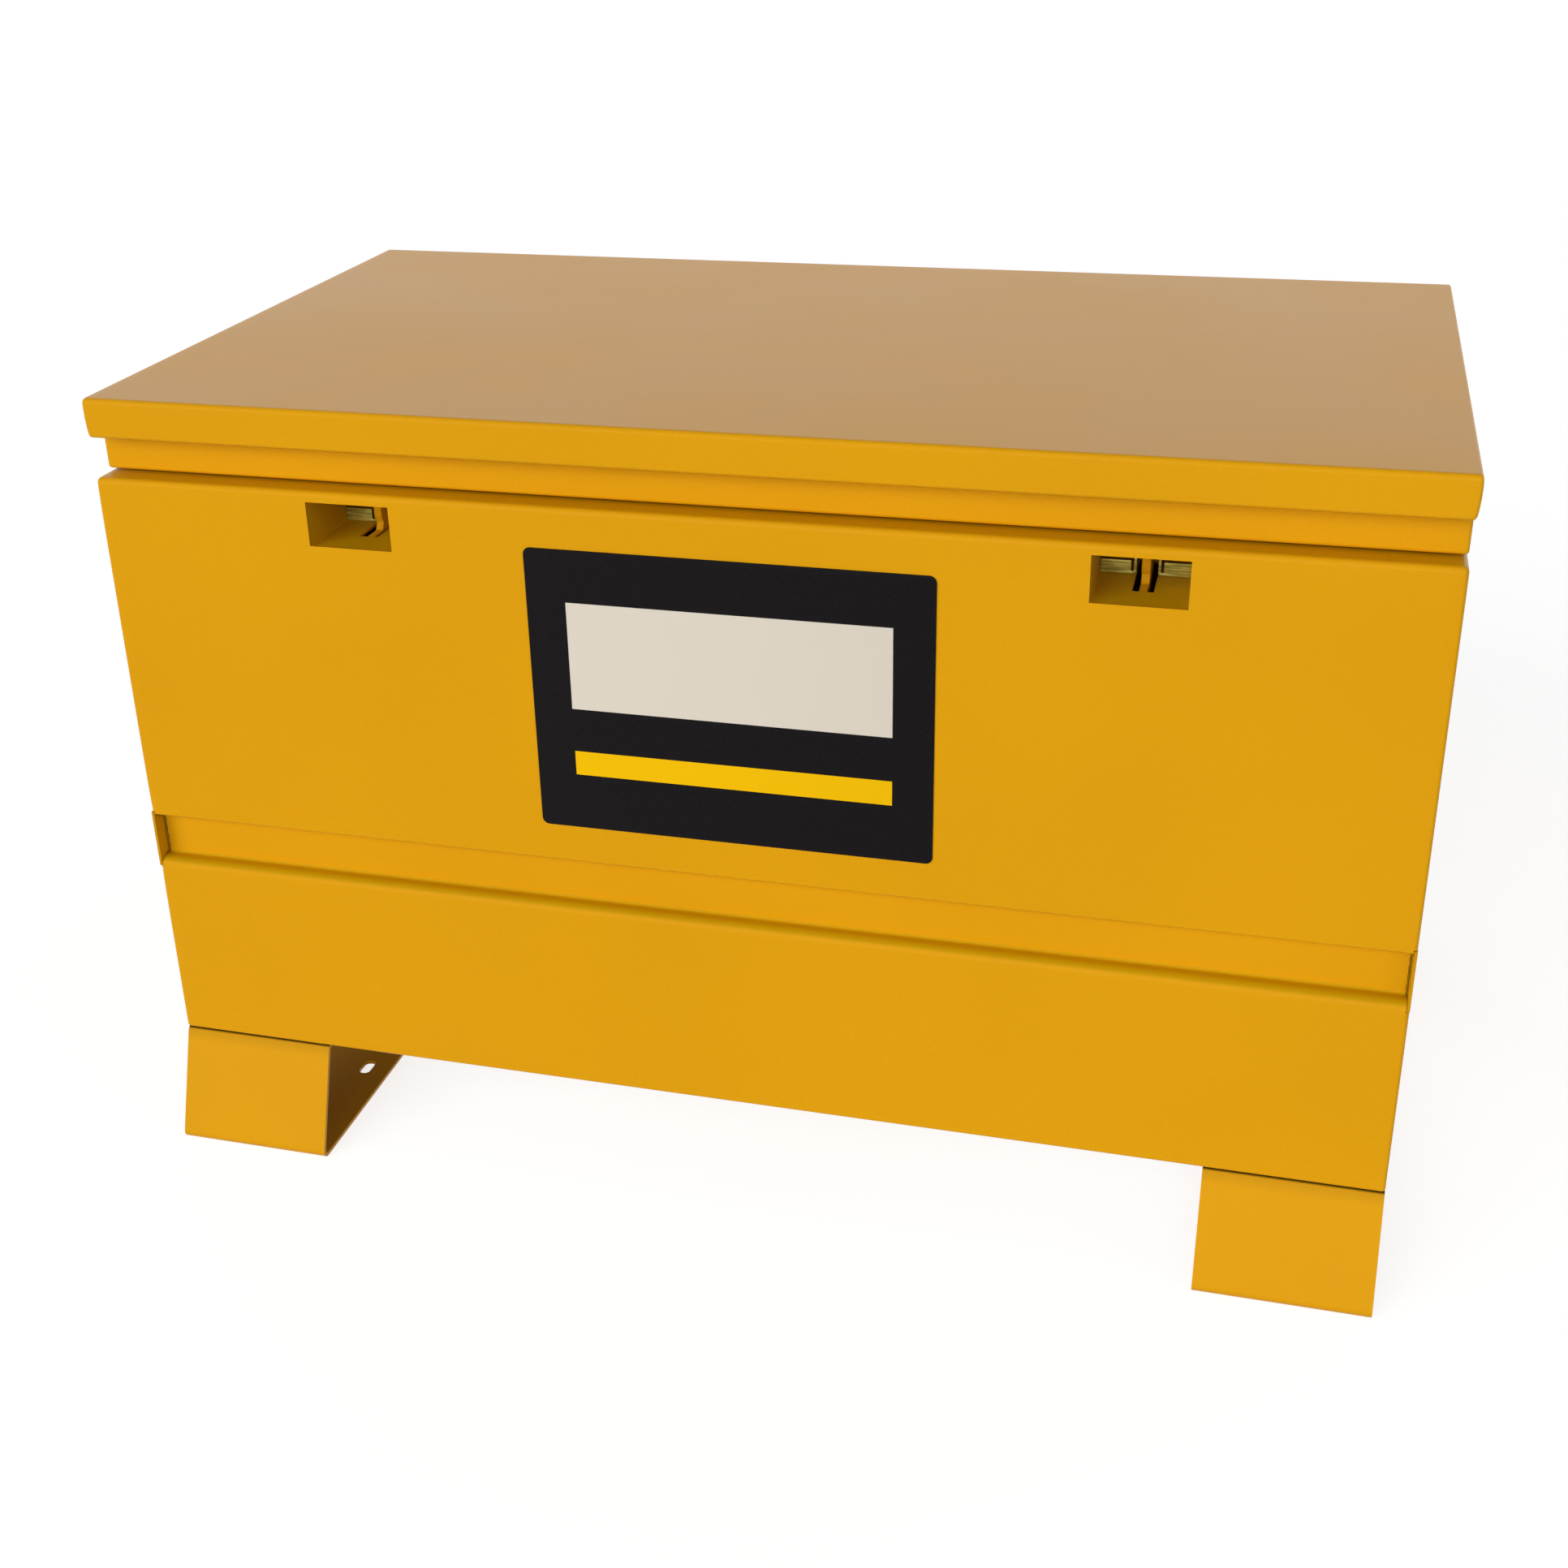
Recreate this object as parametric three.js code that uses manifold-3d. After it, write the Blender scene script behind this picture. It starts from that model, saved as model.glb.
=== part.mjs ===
// Jobsite storage box: a folded sheet-steel chest on two skids, with a hinged lid, two recessed
// padlock pockets in the front, gas struts inside and a drop handle on each end.
// Millimetres, x to the right, y to the back, z up; the origin is on the ground under the middle.
import * as THREE from "three";
import { mergeVertices } from "three/addons/utils/BufferGeometryUtils.js";
import Module from "manifold-3d";

const wasm = await Module();
wasm.setup();

// Whole box
const boxWidth = 914;
const boxDepth = 508;
const boxHeight = 598.5;
const panelSheet = 2;
const insideBend = 2;
const seamGap = 0.3;
const cutOverrun = 12;

// Body shell
const grooveRise = 146.1;
const grooveWidth = 43.6;
const grooveDepth = 12.5;
const grooveFlankRise = 6;
const ledgeDepth = 38;
const rearRim = 18;
const endRim = 22;
const hemDrop = 10;
const bottomFlange = 25;

// Lid
const lidBand = 28;
const lidSkirt = 27;
const lidSeam = 1.6;
const lidOverhang = 1.4;
const skirtSetback = 17.5;
const lidHem = 9;
const lidOpenAngle = THREE.MathUtils.degToRad(95);
const ribWidth = 44;
const ribFoot = 16;
const ribDrop = 16;
const ribLean = 5;
const ribClearance = 21.5;

// Skids
const skidHeight = 88;
const skidWidth = 122.5;
const skidSheet = 3;
const skidInsideBend = 1.5;
const skidLean = 32.5;
const skidSetback = 1.7;
const skidFlange = 40;
const casterSlotWidth = 9.5;
const casterSlotLength = 18.3;
const casterSpacing = 81.5;
const casterRowSpacing = 95.3;
const casterInset = 47.15;

// Padlock pockets, measured from the front panel's face and the middle of each pocket
const pocketOffset = 266.3;
const pocketWidth = 61;
const pocketHeight = 31.6;
const pocketDrop = 7.5;
const pocketDepth = 94;
const pocketSheet = 2;
const pocketLip = 0.8;
const slotWidth = 13.6;
const slotFront = 28.8;
const ledgeSlotFront = 25.6;
const slotBack = 88;

// Zinc-plated keepers beside the tongue
const keeperSheet = 1.9;
const keeperFront = 58;
const keeperBack = 86;
const guardHeight = 9.4;
const guardSlit = 1.7;
const guardWeb = 2;
const shackleRadius = 6;
const shackleInset = 67;
const shackleRise = 17;

// Lock tongue on the lid
const tongueSheet = 5.5;
const tongueFront = 46;
const tongueBack = 80;
const tongueBelly = 3;
const tongueBellyRise = 5;
const toeFront = 29.6;
const toeDrop = 1.2;
const toeHeight = 9;
const toeReturn = 10;
const tongueReach = 21;
const tongueFootSheet = 3;
const tongueFootWidth = 34;
const tongueFootOverlap = 10;

// Label on the front panel
const labelWidth = 280;
const labelHeight = 207;
const labelDrop = 28.4;
const labelRadius = 5;
const labelSheet = 0.5;

// Continuous hinge along the back
const hingeInset = 17;
const hingeSheet = 1.8;
const hingeLeaf = 32;
const hingePinRadius = 3;
const knuckleWall = 2;
const knuckleCount = 12;
const knuckleGap = 0.6;
const pinOverhang = 3;

// Gas struts, with their pivots measured from the hinge pin
const strutInset = 37.75;
const strutBodyForward = 50.3;
const strutBodyDrop = 30.7;
const strutLidForward = 231.5;
const strutLidRise = 30.1;
const strutTubeRadius = 7.5;
const strutBoreRadius = 6;
const strutRodRadius = 4;
const strutNeck = 6;
const strutGuide = 20;
const strutNose = 26;
const strutFloor = 12;
const pistonLength = 5;
const eyeRadius = 9;
const eyeWidth = 15.5;
const studRadius = 4;
const studTail = 1;
const bracketSheet = 2;
const bracketLength = 30;
const bracketLeg = 17;
const bracketStandoff = 3;
const bracketTop = 15;
const bracketDrop = 24;
const lidBracketDrop = 11;

// Drop handles
const handleDrop = 103.6;
const handlePlateWidth = 156;
const handlePlateHeight = 84;
const handlePlateSheet = 2.5;
const handlePlateRadius = 8;
const handlePlateTop = 20;
const bailRadius = 5;
const bailSpan = 122;
const bailDrop = 52;
const bailBend = 10;
const bailClearance = 0.6;
const earOuter = 50;
const earInner = 32;
const earWall = 2.8;
const pinEnd = 28;
const boltInset = 9;
const boltRadius = 3;
const boltHeadRadius = 6.5;
const boltHead = 3;
const nutRadius = 6.5;
const nutHeight = 5;

// Fineness of round forms
const foldSteps = 4;
const roundSides = 16;
const smallSides = 12;
const barSides = 12;
const mergeDistance = 1e-4;

// Levels and planes worked out from the sizes above
const halfWidth = boxWidth / 2;
const front = -boxDepth / 2;
const back = boxDepth / 2;
const bodyBottom = skidHeight + seamGap;
const bandBottom = boxHeight - lidBand;
const lidBottom = bandBottom - lidSkirt;
const bodyTop = lidBottom - lidSeam;
const endInner = halfWidth - panelSheet;
const lidEndOuter = halfWidth + lidOverhang;
const lidUnderside = boxHeight - panelSheet;
const outerBend = insideBend + panelSheet;
const pocketTop = bodyTop - pocketDrop;
const pocketBottom = pocketTop - pocketHeight;
const pocketFloor = pocketBottom - pocketLip;
const pocketCeiling = bodyTop - panelSheet - insideBend - seamGap - pocketSheet;
const knuckleRadius = hingePinRadius + seamGap + knuckleWall;
const pinY = back + seamGap + knuckleRadius;
const pinZ = bodyTop + lidSeam / 2;
const hingeHalf = halfWidth - hingeInset;
const strutX = halfWidth - strutInset;

const paint = new THREE.MeshStandardMaterial({ color: 0xe3a218, roughness: 0.5, metalness: 0 });
const zinc = new THREE.MeshStandardMaterial({ color: 0xb9a864, roughness: 0.35, metalness: 0.9 });
const steel = new THREE.MeshStandardMaterial({ color: 0xb8bcc2, roughness: 0.25, metalness: 1 });
const blackPaint = new THREE.MeshStandardMaterial({ color: 0x1b1b1d, roughness: 0.45, metalness: 0 });
const labelFilm = new THREE.MeshStandardMaterial({ color: 0x1b1a1c, roughness: 0.4, metalness: 0 });

// Solids and cuts

function toSolid(geometry) {
  const plain = geometry.clone();
  plain.deleteAttribute("normal");
  plain.deleteAttribute("uv");
  const merged = mergeVertices(plain, mergeDistance);
  return new wasm.Manifold(new wasm.Mesh({
    numProp: 3,
    vertProperties: merged.attributes.position.array,
    triVerts: new Uint32Array(merged.index.array),
  }));
}

function toGeometry(solid) {
  const { vertProperties, triVerts } = solid.getMesh();
  const geometry = new THREE.BufferGeometry();
  geometry.setAttribute("position", new THREE.BufferAttribute(vertProperties, 3));
  geometry.setIndex(new THREE.BufferAttribute(triVerts, 1));
  geometry.computeVertexNormals();
  return geometry;
}

function join(...geometries) {
  return toGeometry(geometries.map(toSolid).reduce((whole, piece) => whole.add(piece)));
}

function cut(geometry, ...tools) {
  return toGeometry(tools.map(toSolid).reduce((rest, tool) => rest.subtract(tool), toSolid(geometry)));
}

function common(geometry, other) {
  return toGeometry(toSolid(geometry).intersect(toSolid(other)));
}

// Outlines

function direction([x0, y0], [x1, y1]) {
  const length = Math.hypot(x1 - x0, y1 - y0);
  return [(x1 - x0) / length, (y1 - y0) / length];
}

// The arc that rounds a corner: its points, each with the unit normal to the left of the path.
function roundCorner(before, corner, after, radiusOf) {
  const arriving = direction(before, corner);
  const leaving = direction(corner, after);
  const turn = Math.atan2(
    arriving[0] * leaving[1] - arriving[1] * leaving[0],
    arriving[0] * leaving[0] + arriving[1] * leaving[1],
  );
  const side = Math.sign(turn);
  const radius = radiusOf(turn);
  const reach = radius * Math.tan(Math.abs(turn) / 2);
  const normal = [-arriving[1], arriving[0]];
  const centre = [0, 1].map((i) => corner[i] - arriving[i] * reach + normal[i] * side * radius);
  const steps = Math.max(1, Math.round((Math.abs(turn) * 2 * foldSteps) / Math.PI));
  return Array.from({ length: steps + 1 }, (_, k) => {
    const angle = (turn * k) / steps;
    const turned = [
      normal[0] * Math.cos(angle) - normal[1] * Math.sin(angle),
      normal[0] * Math.sin(angle) + normal[1] * Math.cos(angle),
    ];
    return { point: [0, 1].map((i) => centre[i] - turned[i] * side * radius), normal: turned };
  });
}

// Section of a folded sheet: the path is one face, the metal lies to its left.
function foldedSheet(path, thickness, inside) {
  const samples = [];
  path.forEach((point, i) => {
    if (i === 0 || i === path.length - 1) {
      const [dx, dy] = i === 0 ? direction(point, path[1]) : direction(path[i - 1], point);
      samples.push({ point, normal: [-dy, dx] });
      return;
    }
    const radiusOf = (turn) => (turn > 0 ? inside + thickness : inside);
    samples.push(...roundCorner(path[i - 1], point, path[i + 1], radiusOf));
  });
  const far = samples.map(({ point, normal }) => [0, 1].map((i) => point[i] + normal[i] * thickness));
  return [...samples.map(({ point }) => point), ...far.reverse()];
}

// A closed outline with every corner rounded alike.
function rounded(points, radius) {
  const last = points.length - 1;
  return points.flatMap((point, i) => roundCorner(
    points[i === 0 ? last : i - 1], point, points[i === last ? 0 : i + 1], () => radius,
  ).map((sample) => sample.point));
}

function rectangle(low, high) {
  return [low, [high[0], low[1]], high, [low[0], high[1]]];
}

function circle(centre, radius, sides = roundSides) {
  return Array.from({ length: sides }, (_, k) => {
    const angle = (2 * Math.PI * k) / sides;
    return [centre[0] + radius * Math.cos(angle), centre[1] + radius * Math.sin(angle)];
  });
}

// A straight slot along the second axis: two half circles, moved apart.
function slot(centre, width, length, steps = smallSides / 2) {
  const [radius, reach] = [width / 2, (length - width) / 2];
  return [1, -1].flatMap((end) => Array.from({ length: steps + 1 }, (_, k) => {
    const angle = (Math.PI * k) / steps;
    return [centre[0] + end * radius * Math.cos(angle), centre[1] + end * (reach + radius * Math.sin(angle))];
  }));
}

// Bodies

const unitX = new THREE.Vector3(1, 0, 0);
const unitY = new THREE.Vector3(0, 1, 0);
const unitZ = new THREE.Vector3(0, 0, 1);
const prismFrames = {
  x: new THREE.Matrix4().makeBasis(unitY, unitZ, unitX),
  y: new THREE.Matrix4().makeBasis(unitX, unitZ, unitY.clone().negate()),
  z: new THREE.Matrix4(),
};

function vectors(points) {
  return points.map(([u, v]) => new THREE.Vector2(u, v));
}

// Runs an outline along an axis: (y, z) along x, (x, z) along y, (x, y) along z.
function prism(axis, outline, from, to, holes = []) {
  const shape = new THREE.Shape(vectors(outline));
  shape.holes = holes.map((hole) => new THREE.Path(vectors(hole)));
  const geometry = new THREE.ExtrudeGeometry(shape, { depth: to - from, bevelEnabled: false });
  geometry.applyMatrix4(prismFrames[axis]);
  const shift = { x: [from, 0, 0], y: [0, to, 0], z: [0, 0, from] }[axis];
  return geometry.translate(...shift);
}

function block([x0, x1], [y0, y1], [z0, z1]) {
  const geometry = new THREE.BoxGeometry(x1 - x0, y1 - y0, z1 - z0);
  return geometry.translate((x0 + x1) / 2, (y0 + y1) / 2, (z0 + z1) / 2);
}

// Turns a (radius, height) profile about y; it starts and ends on the axis.
function turned(profile) {
  return new THREE.LatheGeometry(vectors(profile), roundSides);
}

// A round bar bent in the (y, z) plane at a given x, with its ends closed.
function bentBar(path, bend, radius, x) {
  const last = path.length - 1;
  const samples = path.flatMap((point, i) => {
    if (i === 0 || i === last) {
      const [dx, dy] = i === 0 ? direction(point, path[1]) : direction(path[i - 1], point);
      return [{ point, normal: [-dy, dx] }];
    }
    return roundCorner(path[i - 1], point, path[i + 1], () => bend);
  });
  const ring = circle([0, 0], radius, barSides);
  const position = samples.flatMap(({ point, normal }) => ring.flatMap(([across, out]) => [
    x + out, point[0] + normal[0] * across, point[1] + normal[1] * across,
  ]));
  const index = [];
  for (let i = 0; i < samples.length - 1; i += 1) {
    for (let k = 0; k < barSides; k += 1) {
      const next = (k + 1) % barSides;
      const [a, b] = [i * barSides + k, i * barSides + next];
      index.push(a, b, b + barSides, a, b + barSides, a + barSides);
    }
  }
  const end = (samples.length - 1) * barSides;
  for (let k = 1; k < barSides - 1; k += 1) {
    index.push(0, k + 1, k, end, end + k, end + k + 1);
  }
  const geometry = new THREE.BufferGeometry();
  geometry.setAttribute("position", new THREE.Float32BufferAttribute(position, 3));
  geometry.setIndex(index);
  return geometry;
}

function part(name, geometry, material) {
  const mesh = new THREE.Mesh(geometry, material.clone());
  mesh.name = name;
  return mesh;
}

// Body shell

function frontPanel() {
  const grooveLow = bodyBottom + grooveRise;
  const grooveHigh = grooveLow + grooveWidth;
  const ledgeBack = front + ledgeDepth;
  const section = foldedSheet([
    [ledgeBack, bodyTop - hemDrop],
    [ledgeBack, bodyTop],
    [front, bodyTop],
    [front, grooveHigh],
    [front + grooveDepth, grooveHigh - grooveFlankRise],
    [front + grooveDepth, grooveLow + grooveFlankRise],
    [front, grooveLow],
    [front, bodyBottom],
    [front + bottomFlange, bodyBottom],
  ], panelSheet, insideBend);
  const span = endInner - seamGap;
  const housing = pocketWidth / 2 + pocketSheet + seamGap;
  const tools = [-pocketOffset, pocketOffset].flatMap((x) => [
    block(
      [x - pocketWidth / 2, x + pocketWidth / 2],
      [front - cutOverrun, front + panelSheet + cutOverrun],
      [pocketBottom, pocketTop],
    ),
    block(
      [x - slotWidth / 2, x + slotWidth / 2],
      [front + ledgeSlotFront, ledgeBack + cutOverrun],
      [bodyTop - panelSheet - seamGap, bodyTop + cutOverrun],
    ),
    block(
      [x - housing, x + housing],
      [ledgeBack - outerBend, ledgeBack + cutOverrun],
      [bodyTop - hemDrop - cutOverrun, bodyTop + cutOverrun],
    ),
  ]);
  return part("front_panel", cut(prism("x", section, -span, span), ...tools), paint);
}

function backPanel() {
  const section = foldedSheet([
    [back - bottomFlange, bodyBottom],
    [back, bodyBottom],
    [back, bodyTop],
    [back - rearRim, bodyTop],
    [back - rearRim, bodyTop - hemDrop],
  ], panelSheet, insideBend);
  const span = endInner - seamGap;
  return part("back_panel", prism("x", section, -span, span), paint);
}

function floorPanel() {
  const edge = outerBend + seamGap;
  const bottom = bodyBottom + panelSheet + seamGap;
  return part("floor_panel", block(
    [-halfWidth + edge, halfWidth - edge],
    [front + edge, back - edge],
    [bottom, bottom + panelSheet],
  ), paint);
}

function handleBoltPlaces() {
  const y = handlePlateWidth / 2 - boltInset;
  const high = handlePivotZ() + handlePlateTop - boltInset;
  const low = handlePivotZ() + handlePlateTop - handlePlateHeight + boltInset;
  return [[-y, low], [y, low], [y, high], [-y, high]];
}

// The right-hand end panel; the left one is its mirror image.
function endPanel(side) {
  const section = foldedSheet([
    [halfWidth - bottomFlange, bodyBottom],
    [halfWidth, bodyBottom],
    [halfWidth, bodyTop],
    [halfWidth - endRim, bodyTop],
    [halfWidth - endRim, bodyTop - hemDrop],
  ], panelSheet, insideBend);
  const outline = rounded(rectangle([front, bodyBottom], [back, bodyTop]), outerBend);
  const plate = common(
    prism("y", section, front, back),
    prism("x", outline, halfWidth - endRim - bottomFlange, halfWidth + cutOverrun),
  );
  const inboard = [halfWidth - endRim - bottomFlange - cutOverrun, endInner];
  const upper = [bodyTop - hemDrop - cutOverrun, bodyTop + cutOverrun];
  const lower = [bodyBottom - cutOverrun, bodyBottom + cutOverrun];
  const reliefs = [
    block(inboard, [front - cutOverrun, front + ledgeDepth + seamGap], upper),
    block(inboard, [back - rearRim - seamGap, back + cutOverrun], upper),
    block(inboard, [front - cutOverrun, front + bottomFlange + seamGap], lower),
    block(inboard, [back - bottomFlange - seamGap, back + cutOverrun], lower),
  ];
  const holes = handleBoltPlaces().map((place) => prism(
    "x", circle(place, boltRadius + seamGap, smallSides), endInner - cutOverrun, halfWidth + cutOverrun,
  ));
  return part(side + "_end_panel", cut(plate, ...reliefs, ...holes), paint);
}

function skid(side) {
  const [toe, heel] = [front + skidSetback - skidLean, back - skidSetback + skidLean];
  const section = foldedSheet([
    [front + skidSetback + skidFlange, skidHeight],
    [front + skidSetback, skidHeight],
    [toe, 0],
    [heel, 0],
    [back - skidSetback, skidHeight],
    [back - skidSetback - skidFlange, skidHeight],
  ], skidSheet, skidInsideBend);
  const middle = halfWidth - skidWidth / 2;
  const holes = [];
  for (const pattern of [front + casterInset, back - casterInset]) {
    for (const [across, along] of rectangle([-1, -1], [1, 1])) {
      const centre = [middle + (across * casterSpacing) / 2, pattern + (along * casterRowSpacing) / 2];
      const outline = slot(centre, casterSlotWidth, casterSlotLength);
      holes.push(prism("z", outline, -cutOverrun, skidSheet + cutOverrun));
    }
  }
  const strap = prism("x", section, halfWidth - skidWidth, halfWidth);
  return part(side + "_skid", cut(strap, ...holes), paint);
}

// Padlock pockets, keepers and tongues

function lockPocket(side) {
  const half = pocketWidth / 2;
  const inner = [pocketOffset - half, pocketOffset + half];
  const mouth = front + panelSheet + seamGap;
  const rear = front + pocketDepth;
  const shell = block(
    [inner[0] - pocketSheet, inner[1] + pocketSheet],
    [mouth, rear + pocketSheet],
    [pocketFloor - pocketSheet, pocketCeiling + pocketSheet],
  );
  const room = block(inner, [mouth - cutOverrun, rear], [pocketFloor, pocketCeiling]);
  const slot = [pocketOffset - slotWidth / 2, pocketOffset + slotWidth / 2];
  const floorSlot = block(
    slot,
    [front + slotFront, front + slotBack],
    [pocketFloor - cutOverrun, pocketFloor + pocketSheet],
  );
  const ceilingSlot = block(
    slot,
    [front + ledgeSlotFront, front + slotBack],
    [pocketCeiling - pocketSheet, pocketCeiling + cutOverrun],
  );
  return part(side + "_lock_pocket", cut(shell, room, floorSlot, ceilingSlot), paint);
}

function shackleHole(from, to) {
  const centre = [front + shackleInset, pocketFloor + shackleRise];
  return prism("x", circle(centre, shackleRadius, roundSides), from, to);
}

// One keeper of a pair: a cheek beside the tongue and a low guard bar out to the pocket's wall.
function keeper(side, place, direct) {
  const low = pocketFloor + seamGap;
  const cheek = [slotWidth / 2, slotWidth / 2 + keeperSheet];
  const guard = [cheek[1] + guardSlit, pocketWidth / 2 - seamGap];
  const face = [front + keeperFront, front + keeperFront + keeperSheet];
  const spans = ([a, b]) => [pocketOffset + direct * a, pocketOffset + direct * b].sort((p, q) => p - q);
  const cheekSpan = spans(cheek);
  const body = join(
    block(cheekSpan, [front + keeperFront, front + keeperBack], [low, pocketCeiling - seamGap]),
    block(spans(guard), face, [low, low + guardHeight]),
    block(spans([cheek[0], guard[1]]), face, [low, low + guardWeb]),
  );
  const hole = shackleHole(cheekSpan[0] - guardSlit, cheekSpan[1] + guardSlit);
  return part(side + "_lock_keeper_" + place, cut(body, hole), zinc);
}

function lockTongue(side) {
  const top = lidUnderside - seamGap;
  const toeTop = pocketFloor - toeDrop;
  const outline = [
    [front + toeFront, toeTop],
    [front + toeFront, toeTop - toeHeight],
    [front + toeFront + toeReturn, toeTop - tongueReach],
    [front + tongueBack, toeTop - tongueReach],
    [front + tongueBack, top],
    [front + tongueFront, top],
    [front + tongueFront, toeTop + 2 * tongueBellyRise],
    [front + tongueFront + tongueBelly, toeTop + tongueBellyRise],
    [front + tongueFront, toeTop],
  ];
  const half = tongueSheet / 2;
  const blade = prism("x", outline, pocketOffset - half, pocketOffset + half);
  const foot = block(
    [pocketOffset - tongueFootWidth / 2, pocketOffset + tongueFootWidth / 2],
    [front + tongueFront - tongueFootOverlap, front + tongueBack + tongueFootOverlap],
    [top - tongueFootSheet, top],
  );
  const hole = shackleHole(pocketOffset - tongueSheet, pocketOffset + tongueSheet);
  return part(side + "_lock_tongue", cut(join(blade, foot), hole), paint);
}

function frontLabel() {
  const top = bodyTop - labelDrop;
  const outline = rounded(rectangle(
    [-labelWidth / 2, top - labelHeight], [labelWidth / 2, top],
  ), labelRadius);
  const face = front - seamGap;
  return part("front_label", prism("y", outline, face - labelSheet, face), labelFilm);
}

// Lid

function lidSkin() {
  const section = foldedSheet([
    [back - lidHem, lidBottom],
    [back, lidBottom],
    [back, boxHeight],
    [front, boxHeight],
    [front, bandBottom],
    [front + skirtSetback, bandBottom],
    [front + skirtSetback, lidBottom],
    [front + skirtSetback + lidHem, lidBottom],
  ], panelSheet, insideBend);
  const span = lidEndOuter - panelSheet - seamGap;
  return part("lid_skin", prism("x", section, -span, span), paint);
}

function lidEnd(side) {
  const outline = rounded([
    [front, bandBottom],
    [front + skirtSetback, bandBottom],
    [front + skirtSetback, lidBottom],
    [back, lidBottom],
    [back, boxHeight],
    [front, boxHeight],
  ], outerBend);
  return part(side + "_lid_end", prism("x", outline, lidEndOuter - panelSheet, lidEndOuter), paint);
}

function lidRib() {
  const top = lidUnderside - seamGap - panelSheet;
  const half = ribWidth / 2;
  const section = foldedSheet([
    [-half - ribFoot, top],
    [-half, top],
    [-half + ribLean, top - ribDrop],
    [half - ribLean, top - ribDrop],
    [half, top],
    [half + ribFoot, top],
  ], panelSheet, insideBend);
  const end = strutX - eyeWidth / 2 - ribClearance;
  return part("lid_rib", prism("x", section, -end, end), paint);
}

// Hinge: the body leaf hangs below the pin, the lid leaf stands above it.

function hingeLeafOf(name, up, parity) {
  const inner = back + seamGap;
  const plateEdge = pinZ + up * (knuckleRadius + knuckleGap);
  const tip = pinZ + up * hingeLeaf;
  const levels = (a, b) => [Math.min(a, b), Math.max(a, b)];
  const pitch = (2 * hingeHalf) / knuckleCount;
  const pieces = [block([-hingeHalf, hingeHalf], [inner, inner + hingeSheet], levels(plateEdge, tip))];
  for (let k = parity; k < knuckleCount; k += 2) {
    const from = -hingeHalf + k * pitch + knuckleGap / 2;
    const to = from + pitch - knuckleGap;
    pieces.push(block([from, to], [inner, inner + hingeSheet], levels(pinZ, plateEdge + up * hingeSheet)));
    pieces.push(prism("x", circle([pinY, pinZ], knuckleRadius), from, to));
  }
  const bore = prism(
    "x", circle([pinY, pinZ], hingePinRadius + seamGap), -hingeHalf - cutOverrun, hingeHalf + cutOverrun,
  );
  return part(name, cut(join(...pieces), bore), paint);
}

function hingePin() {
  const end = hingeHalf + pinOverhang;
  return part("hinge_pin", prism("x", circle([pinY, pinZ], hingePinRadius), -end, end), steel);
}

// Gas struts: pivots in the (y, z) plane, the strut's length along its own y axis.

const bodyPivot = [pinY - strutBodyForward, pinZ - strutBodyDrop];
const lidPivot = [pinY - strutLidForward, pinZ + strutLidRise];
const closedLength = Math.hypot(lidPivot[0] - bodyPivot[0], lidPivot[1] - bodyPivot[1]);
const closedAngle = Math.atan2(lidPivot[1] - bodyPivot[1], lidPivot[0] - bodyPivot[0]);
const openLength = Math.hypot(
  -strutLidForward * Math.cos(lidOpenAngle) + strutLidRise * Math.sin(lidOpenAngle) + strutBodyForward,
  strutLidForward * Math.sin(lidOpenAngle) + strutLidRise * Math.cos(lidOpenAngle) + strutBodyDrop,
);
const strutStroke = openLength - closedLength;

function strutTube(side) {
  const mouth = closedLength - strutNose;
  const start = eyeRadius - seamGap - knuckleWall;
  const neck = strutRodRadius + seamGap;
  const barrel = turned([
    [0, start],
    [strutTubeRadius, start],
    [strutTubeRadius, mouth],
    [neck, mouth],
    [neck, mouth - strutNeck],
    [strutBoreRadius, mouth - strutNeck],
    [strutBoreRadius, start + strutFloor],
    [0, start + strutFloor],
  ]);
  const eye = prism(
    "x", circle([0, 0], eyeRadius), -eyeWidth / 2, eyeWidth / 2, [circle([0, 0], studRadius + seamGap)],
  );
  return part(side + "_strut_cylinder", join(barrel, eye), blackPaint);
}

function strutRod(side) {
  const inner = closedLength - strutNose - strutNeck - strutStroke - strutGuide;
  const rod = turned([
    [0, inner],
    [strutBoreRadius - seamGap, inner],
    [strutBoreRadius - seamGap, inner + pistonLength],
    [strutRodRadius, inner + pistonLength],
    [strutRodRadius, closedLength],
    [0, closedLength],
  ]);
  const end = prism("x", circle([closedLength, 0], eyeRadius), -eyeWidth / 2, eyeWidth / 2);
  return part(side + "_strut_rod", join(rod, end), steel);
}

function strutBodyBracket(side) {
  const face = strutX + eyeWidth / 2 + bracketStandoff;
  const web = bodyPivot[1] - bracketDrop;
  const section = foldedSheet([
    [endInner - seamGap, web - bracketLeg],
    [endInner - seamGap, web],
    [face + bracketSheet, web],
    [face + bracketSheet, bodyPivot[1] + bracketTop],
  ], bracketSheet, insideBend);
  const plate = prism("y", section, bodyPivot[0] - bracketLength / 2, bodyPivot[0] + bracketLength / 2);
  const tip = strutX - eyeWidth / 2 - studTail;
  const stud = prism("x", circle(bodyPivot, studRadius), tip, face + bracketSheet / 2);
  return part(side + "_strut_body_bracket", join(plate, stud), zinc);
}

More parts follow.
